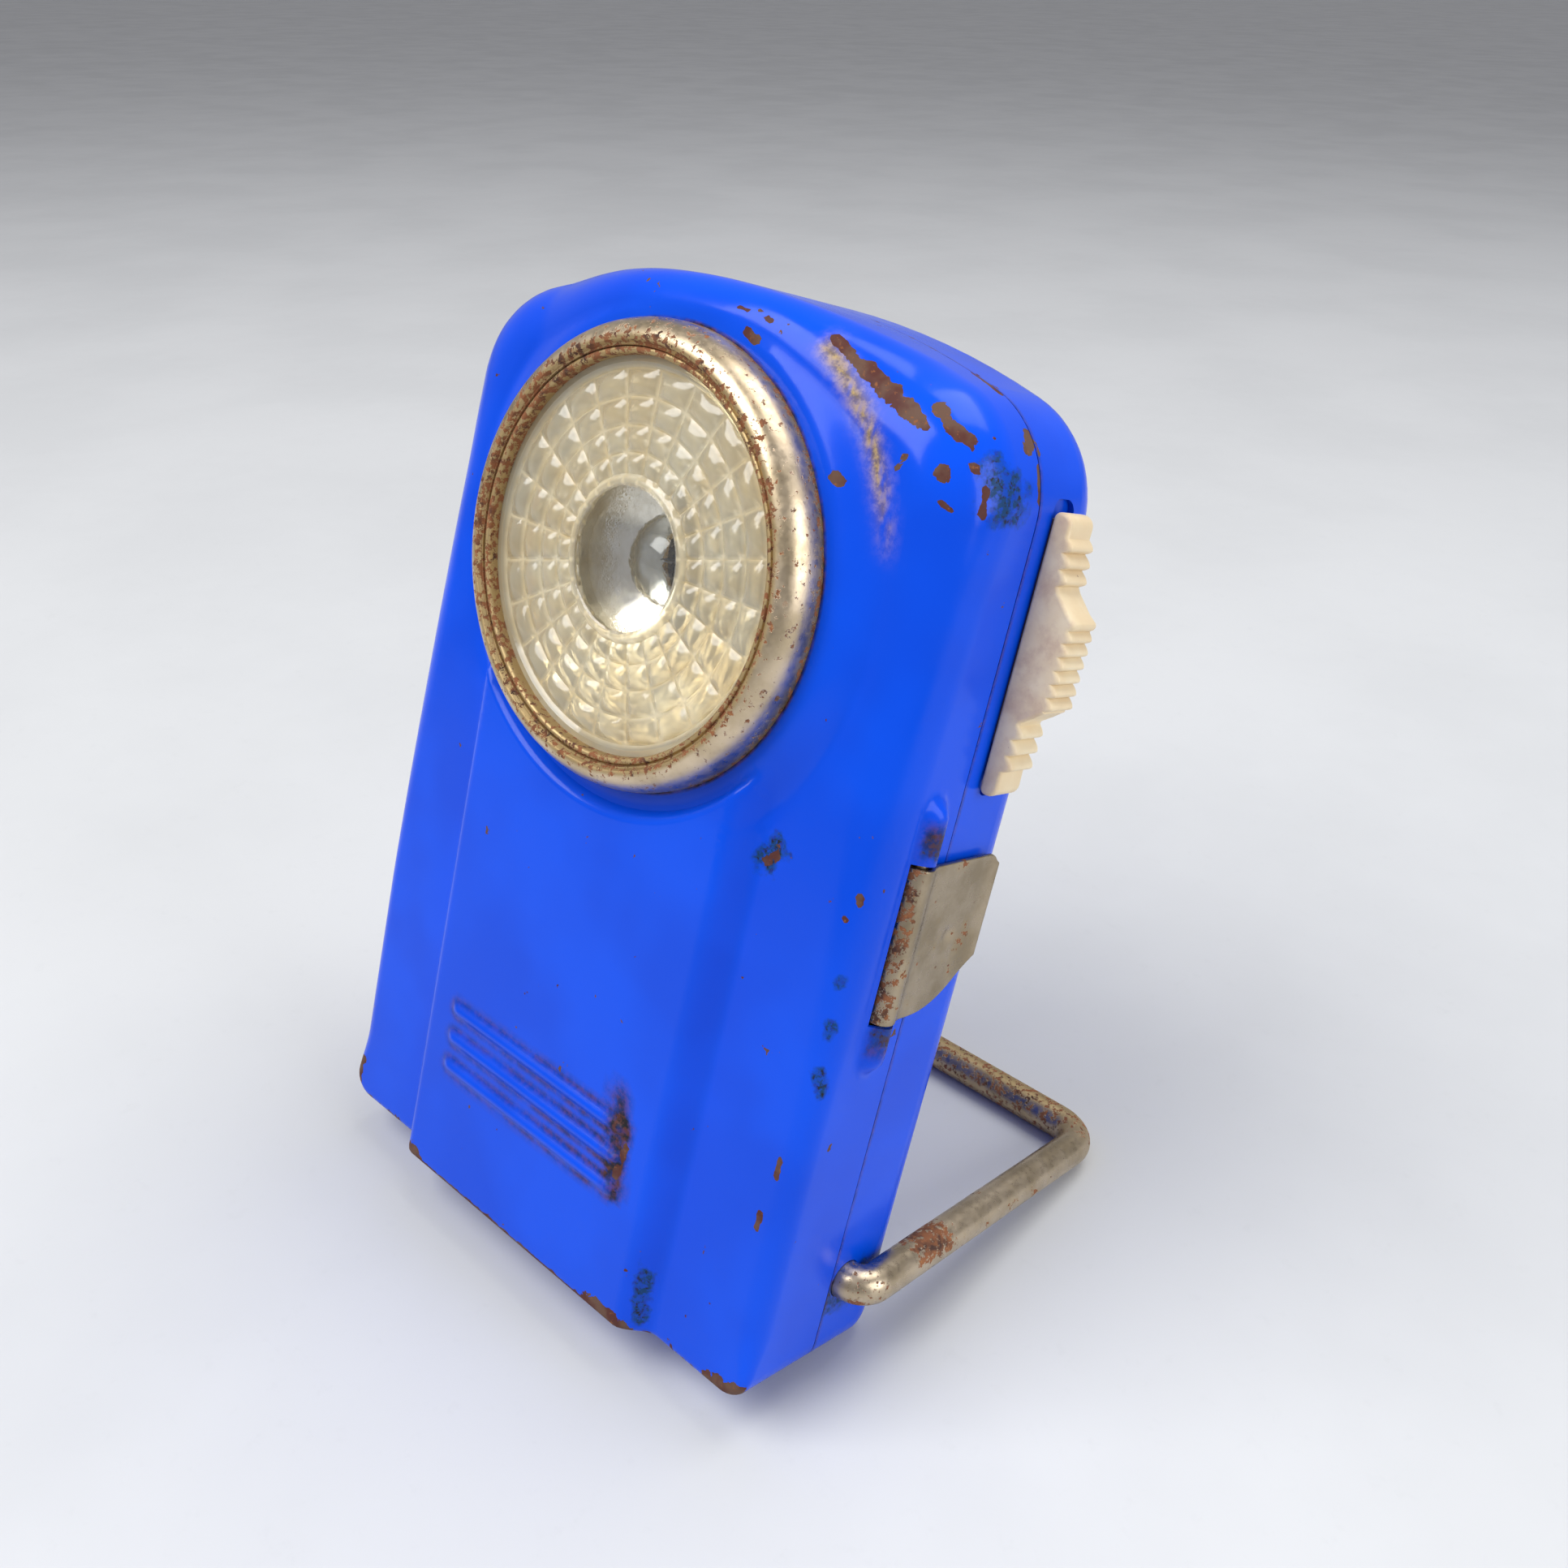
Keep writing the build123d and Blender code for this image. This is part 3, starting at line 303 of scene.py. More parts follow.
def front_edge_radius(x, z):
    """Rounding of the front edge at a place on the outline."""
    side = FOOT_EDGE + (SIDE_EDGE - FOOT_EDGE) * ease(z, 1.0, 9.0)
    up_side = np.clip((z - SHOULDER_START) / (SHOULDER_END - SHOULDER_START), 0, 1)
    side = side + (SHOULDER_EDGE - SIDE_EDGE) * up_side ** 1.4
    crown = CROWN_EDGE + (SHOULDER_EDGE - CROWN_EDGE) * ease(np.abs(x), 6.0, 27.0)
    return np.where(z > HEIGHT - 12, np.minimum(side, crown), side)


def capsule_distance(points, start, end):
    """Distance of each point from a straight stretch."""
    points = np.asarray(points, float)
    start = np.asarray(start, float)
    along = np.asarray(end, float) - start
    t = np.clip((points - start) @ along / max(along @ along, 1e-9), 0, 1)
    return np.linalg.norm(points - start - t[:, None] * along, axis=1)


def rib_distances(x, z):
    """Distance of each point from the middle line of each rib."""
    flat = np.stack([x, z], 1)
    return [capsule_distance(flat, (-RIB_HALF, level), (RIB_HALF, level)) for level in RIB_LEVELS]


def face_y(x, z):
    """Y of the pressed front: flat bands, the raised panel, the round boss and the ribs."""
    x, z = np.asarray(x, float), np.asarray(z, float)
    r = np.hypot(x, z - LENS_Z)
    boss = BOSS_RISE * (1 - ease(r, BOSS_FLAT, BOSS_SKIRT))
    panel = PANEL_RISE * (1 - ease(np.abs(x), PANEL_FLAT, PANEL_SKIRT))
    panel = panel * ease(r, BOSS_FLAT, BOSS_FLAT + 1.7) * (z < LENS_Z)
    blend = 0.9 * np.clip(boss + panel, 0.001, 1)
    overlap = np.clip(blend - np.abs(boss - panel), 0, None) / blend
    rise = np.maximum(boss, panel) + overlap ** 2 * blend / 4 * (np.minimum(boss, panel) > 0.01)
    crease = CREASE_DEPTH * np.exp(-((r - BOSS_SKIRT - 0.2) / 0.6) ** 2) * (1 - panel / PANEL_RISE)
    ribs = 0
    for away in rib_distances(x, z):
        ribs = ribs + RIB_RISE * (1 + np.cos(pi * np.clip(away / RIB_RADIUS, 0, 1))) / 2
    return crease - rise - ribs


# ---- front shell
def front_rings(edge):
    """Rows of points from the seam, forward over the rounded edge, to the rim of the face."""
    x, z, nx, nz = edge.T
    radius = front_edge_radius(x, z)
    level = face_y(x + nx * radius, z + nz * radius)
    start = level + radius
    bead_front = LATCH_Y - WINDOW_HALF
    bead_back = LATCH_Y + WINDOW_HALF
    levels = list(np.linspace(SEAM, bead_back, REAR_ROWS))
    levels += list(np.linspace(bead_back, bead_front, WINDOW_ROWS)[1:])
    levels[0] += SEAM_REACH
    # where the edge is rounded more deeply, the wall's rows draw back to make room for it
    front_end = np.maximum(bead_front, start + EDGE_ROOM)
    shrink = (SEAM - front_end) / (SEAM - bead_front)
    rings = [(0 * x, SEAM - (SEAM - y) * shrink) for y in levels]
    rings += [(0 * x, front_end + (start - front_end) * t) for t in (0.25, 0.5, 0.75, 1.0)]
    turns = np.radians(np.linspace(0, 90, EDGE_ROWS + 1)[1:])
    rings += [(radius * (1 - cos(a)), level + radius * (1 - sin(a))) for a in turns]
    points = []
    for inset, y in rings:
        bead = np.zeros(len(x))
        on_wall = nx < -0.999
        wall = np.stack([y, z], 1)
        away = capsule_distance(wall, (LATCH_Y, BEAD_START), (LATCH_Y, BEAD_END))
        bump = BEAD_RISE * np.clip(1 - (away / BEAD_REACH) ** 2, 0, 1) ** 1.5
        bead[on_wall] = bump[on_wall]
        points.append(np.stack([x + nx * inset + bead, y, z + nz * inset], 1))
    return np.array(points)


def face_points(rim):
    """Scattered points inside the face: along its soft folds, round the boss and over the ribs."""
    places = []
    top = LENS_Z - 10
    for side in (-1, 1):
        for x in np.linspace(PANEL_FLAT - FOLD_SPREAD, PANEL_SKIRT + FOLD_SPREAD, FOLD_COLUMNS):
            places += [(side * x, z) for z in np.arange(FOLD_START, top, FOLD_STEP)]
    for r in np.arange(RING_START, BOSS_SKIRT + FINE_MARGIN, RING_STEP):
        for a in np.linspace(0, 2 * pi, AROUND, endpoint=False):
            places.append((r * cos(a), LENS_Z + r * sin(a)))
    low, high = RIB_LEVELS[0] - FINE_MARGIN, RIB_LEVELS[-1] + FINE_MARGIN
    rib_end = RIB_HALF + FINE_MARGIN
    for z in np.arange(low, high, RIB_STEP_Z):
        places += [(x, z) for x in np.arange(-rib_end, rib_end + 0.1, RIB_STEP_X)]
    places = np.array(places)
    far = np.hypot(places[:, 0], places[:, 1] - LENS_Z) > HOLE_RADIUS + 0.5
    columns = np.arange(-PLAIN_HALF, PLAIN_HALF + 0.1, PLAIN_STEP)
    plain = np.array([(x, z) for x in columns for z in np.arange(PLAIN_START, HEIGHT, PLAIN_STEP)])
    x, z = np.abs(plain[:, 0]), plain[:, 1]
    on_boss = np.hypot(x, z - LENS_Z) <= BOSS_SKIRT + 1.8
    in_ribs = (x < RIB_HALF + 1.9) & (z > low - 0.3) & (z < high + 0.3)
    on_fold = (np.abs(x - (PANEL_FLAT + PANEL_SKIRT) / 2) < 2.8) & (z < top)
    places = np.concatenate([places[far], plain[~(on_boss | in_ribs | on_fold)]])
    return places[inside_rim(places, rim, RIM_GAP)]


def inside_rim(places, rim, margin):
    """Which places lie inside a closed rim, at least a margin away from it."""
    x, z = places.T
    ax, az = rim.T
    bx, bz = np.roll(ax, -1), np.roll(az, -1)
    crossing = (az[None] > z[:, None]) != (bz[None] > z[:, None])
    rise = np.where(bz == az, 1e-9, bz - az)
    at = (bx - ax)[None] * (z[:, None] - az[None]) / rise[None] + ax[None]
    odd = (crossing & (x[:, None] < at)).sum(1) % 2 == 1
    gap = np.hypot(x[:, None] - ax[None], z[:, None] - az[None]).min(1)
    return odd & (gap > margin)


def front_shell():
    """The pressed front: side walls with the latch's bead and window, rounded edge and face."""
    edge = outline(OUTLINE_STEP)
    rings = front_rings(edge)
    rows, columns = rings.shape[:2]
    points = rings.reshape(-1, 3)
    faces = []
    for face in grid_faces(rows, columns, closed=True):
        middle = points[list(face)].mean(0)
        in_window = WINDOW_LOW < middle[2] < WINDOW_HIGH and abs(middle[1] - LATCH_Y) < WINDOW_HALF
        if middle[0] < HALF_WIDTH - 1 or not in_window:
            faces.append(face)
    rim = rings[-1][:, (0, 2)]
    around = np.linspace(0, 2 * pi, AROUND, endpoint=False)
    hole = np.stack([HOLE_RADIUS * np.cos(around), LENS_Z + HOLE_RADIUS * np.sin(around)], 1)
    flat = np.concatenate([rim, hole, face_points(rim)])
    loops = [list(range(columns)), list(range(columns, columns + len(hole)))]
    edges = [(loop[i], loop[(i + 1) % len(loop)]) for loop in loops for i in range(len(loop))]
    net = delaunay_2d_cdt([Vector(p) for p in flat], edges, [], 0, 1e-6)
    made, triangles = np.array([(p.x, p.y) for p in net[0]]), net[2]
    first = len(points) - columns
    inner = np.stack([made[:, 0], face_y(made[:, 0], made[:, 1]), made[:, 1]], 1)
    middle = made[np.array(triangles)].mean(1)
    kept = np.hypot(middle[:, 0], middle[:, 1] - LENS_Z) > HOLE_RADIUS - 0.02
    kept &= inside_rim(middle, rim, 0)
    for triangle, keep in zip(triangles, kept):
        if keep:
            faces.append(tuple(first + i for i in triangle))
    points = np.concatenate([points, inner[columns:]])
    shell = mesh_piece("front_shell", points, faces, "front_cover", ("front_case",))
    face_outwards(shell, 50, open_shell=True)
    fields = wear_fields(points)
    for name in fields:
        store(shell, name, fields[name])
    sheet = shell.modifiers.new("sheet", "SOLIDIFY")
    sheet.thickness = SHEET * MM
    sheet.offset = -1
    apply_modifiers(shell, 50)
    # the sheet's inner skin follows the outer one in the mesh, and carries no wear
    inside = len(shell.data.vertices) - len(points)
    for name, values in fields.items():
        clean = np.full(inside, min(0.0, values.min()), np.float32)
        both = np.concatenate([np.asarray(values, np.float32), clean])
        shell.data.attributes[name].data.foreach_set("value", both)
    return shell


# ---- wear on the front shell
RUST_MARKS = [
    # start, end, radius: bare rusty chips, as short stretches on the paint
    ((16.2, 0.6, 104.0), (20.5, 0.8, 102.6), 0.7),
    ((20.5, 0.8, 102.6), (25.8, 0.4, 100.2), 1.15),
    ((25.8, 0.4, 100.2), (28.6, 0.5, 99.0), 0.8),
    ((28.4, 1.8, 101.1), (29.2, 1.8, 100.6), 0.85),
    ((30.0, 1.7, 99.7), (32.0, 2.4, 98.3), 0.85),
    ((31.2, 0.4, 95.8), (31.4, 0.4, 95.2), 0.85),
    ((33.1, 2.1, 96.6), (33.4, 2.1, 95.9), 0.3),
    ((34.2, 3.0, 94.4), (34.4, 3.2, 92.2), 0.55),
    ((32.1, 0.4, 93.0), (32.4, 0.4, 92.2), 0.4),
    ((27.1, 0.0, 95.8), (27.1, 0.0, 95.0), 0.35),
    ((6.0, -1.1, 104.7), (7.2, -1.0, 104.4), 0.3),
    ((8.4, -0.9, 104.6), (9.6, -0.9, 104.1), 0.35),
    ((7.6, -1.4, 102.8), (8.8, -1.4, 102.2), 0.55),
    ((24.6, 10.8, 103.6), (28.0, 10.6, 102.3), 0.7),
    ((32.2, 10.6, 99.5), (33.0, 9.7, 98.4), 0.95),
    ((33.9, 10.9, 97.0), (34.6, 10.9, 94.0), 0.5),
    ((33.8, 0.6, 56.6), (33.8, 0.6, 56.0), 0.5),
    ((32.9, 0.1, 54.1), (32.9, 0.1, 54.0), 0.4),
    ((32.2, 0.0, 28.2), (32.2, 0.0, 26.2), 0.5),
    ((32.0, 0.0, 21.8), (31.9, 0.0, 20.2), 0.5),
    ((23.2, 0.0, 57.2), (22.6, 0.0, 56.0), 0.7),
    ((21.2, -1.4, 92.6), (22.0, -1.4, 92.0), 0.7),
    ((-20.0, -2.0, 0.4), (-17.5, -2.8, 0.9), 1.6),
    ((-17.0, -2.8, 0.3), (14.0, -2.8, 0.3), 0.55),
    ((13.0, -2.7, 0.3), (19.0, -2.4, 0.8), 1.6),
    ((31.4, 0.2, 0.4), (33.6, 0.8, 1.2), 1.8),
    ((-34.0, 0.4, 1.8), (-34.0, 0.4, 4.4), 1.1),
    ((14.9, -3.1, 16.6), (15.3, -3.1, 20.6), 0.6),
]
SCUFF_MARKS = [
    # rubbed places where the paint is thin and dark or grey
    ((34.6, 5.6, 95.2), (34.8, 6.2, 94.2), 3.3),
    ((20.6, -1.2, 2.0), (20.2, -1.4, 8.0), 1.2),
    ((23.5, 0.0, 57.8), (22.5, 0.0, 55.8), 1.6),
    ((33.9, 0.5, 48.4), (33.9, 0.5, 47.6), 0.8),
    ((34.0, 0.6, 43.6), (34.0, 0.6, 42.4), 0.9),
    ((34.0, 0.6, 38.4), (34.3, 1.0, 36.8), 1.0),
]
GRIME_MARKS = [
    # brown-black dirt at the right ends of the ribs
    ((12.9, -2.8, 25.0), (14.9, -2.8, 16.0), 2.4),
]
WORN_ARC_START, WORN_ARC_END = 26, 55  # degrees round the boss's crease


def marks_field(points, marks):
    """1 in the middle of a mark, falling to 0 at its edge and below 0 outside."""
    field = np.full(len(points), -1.0)
    for *ends, radius in marks:
        start, end = (points[np.linalg.norm(points - place, axis=1).argmin()] for place in ends)
        field = np.maximum(field, 1 - capsule_distance(points, start, end) / radius)
    return np.clip(field, -1, 1)


def wear_fields(points):
    """Numbers for the paint: rusty chips, scuffs, worn crease, a darker band along each rib's foot and grime by
    the ribs.
    """
    x, y, z = points.T
    r = np.hypot(x, z - LENS_Z)
    angle = np.degrees(np.arctan2(z - LENS_Z, x))
    arc_part = ease(angle, WORN_ARC_START - 14, WORN_ARC_START + 4)
    arc_part = arc_part * (1 - ease(angle, WORN_ARC_END, WORN_ARC_END + 5))
    crease = arc_part * np.exp(-((r - BOSS_SKIRT - 0.4) / 0.9) ** 2)
    # a darker band along the foot of each rib, stronger towards the right
    ribs = np.zeros(len(x))
    for away in rib_distances(x, z):
        ribs = np.maximum(ribs, np.exp(-((away - RIB_RADIUS) / 0.45) ** 2) * (y < -1.5))
    ribs = ribs * (0.55 + 0.45 * ease(x, -10.0, RIB_HALF))
    foot = (1 - ease(z, 0.2, 1.4)) * (y < 1.0)
    beside_latch = np.minimum(np.abs(z - BEAD_START - 2.4), np.abs(z - BEAD_END + 2.4))
    bead = (1 - ease(beside_latch, 0.6, 3.0)) * (1 - ease(np.abs(y - LATCH_Y), 1.0, 2.2))
    bead = bead * (x > HALF_WIDTH)
    dirty = 1.3 * np.clip(marks_field(points, GRIME_MARKS), 0, 1)
    return {
        "rust": marks_field(points, RUST_MARKS),
        "scuff": np.maximum(marks_field(points, SCUFF_MARKS), bead - 0.4),
        "worn": crease,
        "grime_and_shade": np.clip(0.9 * (ribs + bead) + dirty, 0, 1),
        "edge": foot,
    }


# ---- bezel and lens
ROLL_START = -2.4  # Y where the bezel's straight wall turns into its roll
ROLL_WIDTH = 2.25  # how far in the roll reaches
GROOVE_FLOOR = 0.5  # depth of the groove between the roll and the inner lip
INNER_LIP = 0.36  # radius of the inner lip
THROAT = 19.4  # radius of the opening before the lens
NECK = 20.9  # radius inside the neck that goes through the boss
NECK_SHEET = 0.5
FLARE = 22.4  # radius of the neck's flared rear end
FLARE_SHEET = 0.45
SHOULDER_BACK = 1.9  # how far behind the bezel's front its inner shoulder lies
SEAT_GAP = 0.01


def bezel():
    """Rolled trim ring: straight wall, half-round roll, rusty groove and rolled inner lip."""
    outer = BEZEL_RADIUS
    front = BEZEL_FRONT
    seat = -BOSS_RISE
    crest = outer - ROLL_WIDTH
    floor_y = front + GROOVE_FLOOR
    rear = bezel_high.y
    lens_seat = lens_low.y + 0.32
    shoulder = front + SHOULDER_BACK
    profile = [(outer, seat - SEAT_GAP)]
    for turn in np.radians(np.linspace(0, 90, 19)):
        profile.append((crest + ROLL_WIDTH * cos(turn), ROLL_START + (front - ROLL_START) * sin(turn)))
    profile += [(crest - 0.18, front + 0.08), (crest - 0.34, front + 0.32), (crest - 0.44, floor_y)]
    profile += [(crest - 0.62, floor_y + 0.04), (crest - 0.7, floor_y - 0.12)]
    profile += arc(crest - 1.06, front + 0.85, INNER_LIP, -10, -170, 9)
    profile += [(THROAT + 0.02, front + 1.3), (THROAT, lens_seat), (NECK, lens_seat)]
    profile += [(NECK, rear), (FLARE, rear), (FLARE, rear - FLARE_SHEET)]
    profile += [(NECK + NECK_SHEET, rear - FLARE_SHEET), (NECK + NECK_SHEET, shoulder)]
    profile += [(outer - 1.4, shoulder), (outer - NECK_SHEET, ROLL_START)]
    profile.append((outer - NECK_SHEET, seat - SEAT_GAP))
    return lathe("bezel", profile, 240, "front_cover", ("bezel_ring",), 32)


DISC_RADIUS = 7.1  # radius of the plain bullseye
DISC_RIM = 8.0  # outer radius of the bead round it
FACET_BOUNDS = (8.0, 10.3, 12.9, 15.6, 18.3)  # radii between the rings of facets
SECTORS = 24  # facets in each ring
PILLOW = 0.29  # how far a facet stands out from the plain rim
GROOVE_SINK = 0.33  # how far the lines between facets lie behind it
LENS_LAND = 0.3  # how far the lens's plain rim lies behind its highest facets
PER_SECTOR = 10  # columns of points in a sector
BACK_GROOVE = 0.3  # depth of the rings moulded in the lens's back


def lens_front_y(r, turn):
    """Y of the lens's outer face; turn counts whole sectors."""
    base = LENS_FRONT + LENS_LAND
    if r <= DISC_RADIUS:
        return base - 0.16 + 0.06 * (r / DISC_RADIUS) ** 2
    if r <= DISC_RIM:
        t = (r - DISC_RADIUS) / (DISC_RIM - DISC_RADIUS)
        return base - 0.1 - 0.18 * sin(pi * t)
    for inner, outer in zip(FACET_BOUNDS, FACET_BOUNDS[1:]):
        if r <= outer:
            across = 2 * (r - inner) / (outer - inner) - 1
            around = 2 * (turn % 1) - 1
            crown = ((1 - across ** 2) * (1 - around ** 2)) ** 0.9
            return base + GROOVE_SINK - (PILLOW + GROOVE_SINK) * crown
    return base


def clear_lens():
    """Moulded disc: plain bullseye, beaded rim and four rings of pillow facets."""
    radii = list(np.linspace(0.05, DISC_RADIUS, 8)) + list(np.linspace(DISC_RADIUS, DISC_RIM, 6)[1:])
    for inner, outer in zip(FACET_BOUNDS, FACET_BOUNDS[1:]):
        radii += list(np.linspace(inner, outer, 9)[1:])
    radii += [18.8, 19.3, 20.0, LENS_RADIUS]
    columns = SECTORS * PER_SECTOR
    points = []
    for r in radii:
        for column in range(columns):
            turn = column / PER_SECTOR
            angle = 2 * pi * turn / SECTORS
            points.append((r * cos(angle), lens_front_y(r, turn), LENS_Z + r * sin(angle)))
    back = [LENS_RADIUS, FACET_BOUNDS[-1]]
    for inner, outer in reversed(list(zip(FACET_BOUNDS, FACET_BOUNDS[1:]))):
        back += [(inner + outer) / 2, inner]
    back += [DISC_RADIUS, 0.05]
    for number, r in enumerate(back):
        rise = BACK_GROOVE if number >= 2 and number % 2 == 0 else 0.0
        for column in range(columns):
            angle = 2 * pi * column / columns
            points.append((r * cos(angle), LENS_BACK - 0.04 - rise, LENS_Z + r * sin(angle)))
    faces = capped_tube(len(radii) + len(back), columns)
    piece = mesh_piece("clear_lens", points, faces, "front_cover", ("lens",), 24)
    return face_outwards(piece, 24)


# ---- slider
SLIDER_SOFT = 0.4  # rounding of the slider's side edges
SLIDER_LIFT = 0.15  # gap under the slider
SLIDER_HEEL = 0.7  # rounding of its ends where they meet the case
SLIDER_END = 1.1  # rounding of its ends on the outside
TIP = 0.34  # where a tooth's tip lies, from its lower side
SIDE_TEETH = 0.55  # how much of a tooth's height is left on the slider's sides
TONGUE_HALF = 1.5  # half width of the tongue in the case's pocket


def tooth_row(start, end, count, out_start, out_end, height):
    """Soft moulded saw teeth along a slope from one height and reach to another."""
    points = []
    for index in range(count):
        for t in np.linspace(0, 1, 10, endpoint=False):
            along = (index + t) / count
            crest = t / TIP if t < TIP else (1 - t) / (1 - TIP)
            reach = out_start + (out_end - out_start) * along + height * sin(pi / 2 * crest)
            points.append((HALF_WIDTH + reach, start + (end - start) * along))
    return points


def slider_outline(tooth):
    """Side outline as (X, Z) points, from the foot up and back down; tooth scales the teeth."""
    base_x = HALF_WIDTH + SLIDER_LIFT
    low, high = slider_low.z, slider_high.z

    def at(part):
        return low + part * (high - low)

    points = arc(base_x + SLIDER_HEEL, low + SLIDER_HEEL, SLIDER_HEEL, 180, 270, 6)
    points += arc(HALF_WIDTH + 2.1 - SLIDER_END, low + SLIDER_END, SLIDER_END, -90, 0, 6)
    points += tooth_row(at(0.10), at(0.28), 3, 2.05, 2.25, 0.85 * tooth)
    ramp = ((2.5, 0.285), (3.6, 0.315), (4.6, 0.345))
    points += [(HALF_WIDTH + reach, at(part)) for reach, part in ramp]
    points += tooth_row(at(0.352), at(0.638), 6, 4.6, 4.6, 0.65 * tooth)
    points += arc(HALF_WIDTH + 4.75, at(0.656), 0.5, -50, 40, 5)
    wedge = ((4.3, 0.69), (3.5, 0.72), (2.75, 0.748))
    points += [(HALF_WIDTH + reach, at(part)) for reach, part in wedge]
    points += tooth_row(at(0.765), at(0.93), 3, 2.45, 2.0, 0.75 * tooth)
    points += arc(HALF_WIDTH + 2.2 - SLIDER_END, high - SLIDER_END, SLIDER_END, 0, 90, 6)
    points += arc(base_x + SLIDER_HEEL, high - SLIDER_HEEL, SLIDER_HEEL, 90, 180, 6)
    return np.array(points)


def thumb_slider():
    """Moulded thumb slider with rounded side edges, and its tongue in the case's pocket."""
    plain, toothed = slider_outline(0), slider_outline(1)
    ahead = np.roll(plain, -1, 0) - np.roll(plain, 1, 0)
    inward = np.stack([-ahead[:, 1], ahead[:, 0]], 1)
    inward = inward / np.linalg.norm(inward, axis=1)[:, None]
    near, far = slider_low.y, slider_high.y
    rings = []
    for turn in np.radians(np.linspace(90, 0, 7)):
        # the teeth fade out where the side edges turn over
        tooth = SIDE_TEETH + (1 - SIDE_TEETH) * cos(turn) ** 0.7
        rings.append((tooth, SLIDER_SOFT * (1 - cos(turn)), near + SLIDER_SOFT * (1 - sin(turn))))
    rings += [(tooth, inset, far - (y - near)) for tooth, inset, y in reversed(rings)]
    points = []
    for tooth, inset, y in rings:
        shifted = plain + (toothed - plain) * tooth + inward * inset
        points += [(x, y, z) for x, z in shifted]
    faces = capped_tube(len(rings), len(plain))
    middle = (near + far) / 2
    tongue_low, tongue_high = slider_low.z + 5.2, slider_high.z - 0.8
    corners = ((-1, tongue_low), (1, tongue_low), (1, tongue_high), (-1, tongue_high))
    first = len(points)
    for x in (slider_low.x, HALF_WIDTH + 0.5):
        points += [(x, middle + side * TONGUE_HALF, z) for side, z in corners]
    faces += [tuple(first + i for i in face) for face in
              ((0, 1, 2, 3), (7, 6, 5, 4), (0, 4, 5, 1), (1, 5, 6, 2), (2, 6, 7, 3), (3, 7, 4, 0))]
    piece = mesh_piece("thumb_slider", points, faces, "slider", ("switch_slider",), 48)
    return face_outwards(piece, 48)


# ---- latch
LATCH_ROLL = 1.55  # outer radius of the roll
LATCH_SHEET = 0.5
LATCH_LIP = 2.2  # length of the turned-up end
LATCH_LIP_OUT = 0.42  # how far it turns out


def latch_line():
    """Outer-face line of the latch sheet, as (X, Y): the roll, the flange and its turned-up end."""
    mid = LATCH_ROLL - LATCH_SHEET / 2
    flange_x = HALF_WIDTH + 0.45 + LATCH_SHEET / 2
    turn = degrees(np.arccos(min(1.0, (flange_x - HALF_WIDTH) / mid)))
    points = arc(HALF_WIDTH, LATCH_Y, mid, -250, turn - 14, 26)
    start_y = points[-1][1] + 0.9
    end = latch_high.y - LATCH_LIP
    points += [(flange_x, y) for y in np.linspace(start_y, end, 22)]
    lip = np.linspace(0, 1, 7)[1:]
    points += [(flange_x + LATCH_LIP_OUT * t ** 2, end + LATCH_LIP * t) for t in lip]
    return np.array(points)


def latch_low_edge(y):
    """Lowest Z of the latch sheet at a given Y: its rear corner is cut back in a curve."""
    t = np.clip((y - LATCH_Y - 3.4) / (latch_high.y - LATCH_Y - 3.4), 0, 1)
    return latch_low.z + 5.2 * t ** 2.2


def side_latch():
    """Sheet latch with a roll round its pin, a dimpled flange and a turned-up thumb edge."""
    line = latch_line()
    rows = np.linspace(0, 1, 36)
    top = latch_high.z - 0.15
    dimple_y = (LATCH_Y + latch_high.y) / 2 + 0.6
    points = []
    for t in rows:
        for x, y in line:
            low = latch_low_edge(y)
            corner = 0.9 * ease(y, latch_high.y - 1.4, latch_high.y) ** 2
            z = low + (top - corner - low) * t
            away = sqrt((y - dimple_y) ** 2 + (z - LATCH_PIN_MIDDLE) ** 2)
            dent = 0.3 * (1 - float(ease(away, 0.1, 1.35)))
            points.append((x - dent * (y > LATCH_Y + 3), y, z))
    faces = grid_faces(len(rows), len(line))
    piece = mesh_piece("latch_plate", points, faces, "latch", ("side_latch",), 60)
    sheet = piece.modifiers.new("sheet", "SOLIDIFY")
    sheet.thickness = LATCH_SHEET * MM * 0.96
    sheet.offset = 0
    soft = piece.modifiers.new("soft", "BEVEL")
    soft.width = 0.1 * MM
    soft.segments = 2
    soft.limit_method = "ANGLE"
    soft.angle_limit = radians(50)
    apply_modifiers(piece, 50)
    return piece


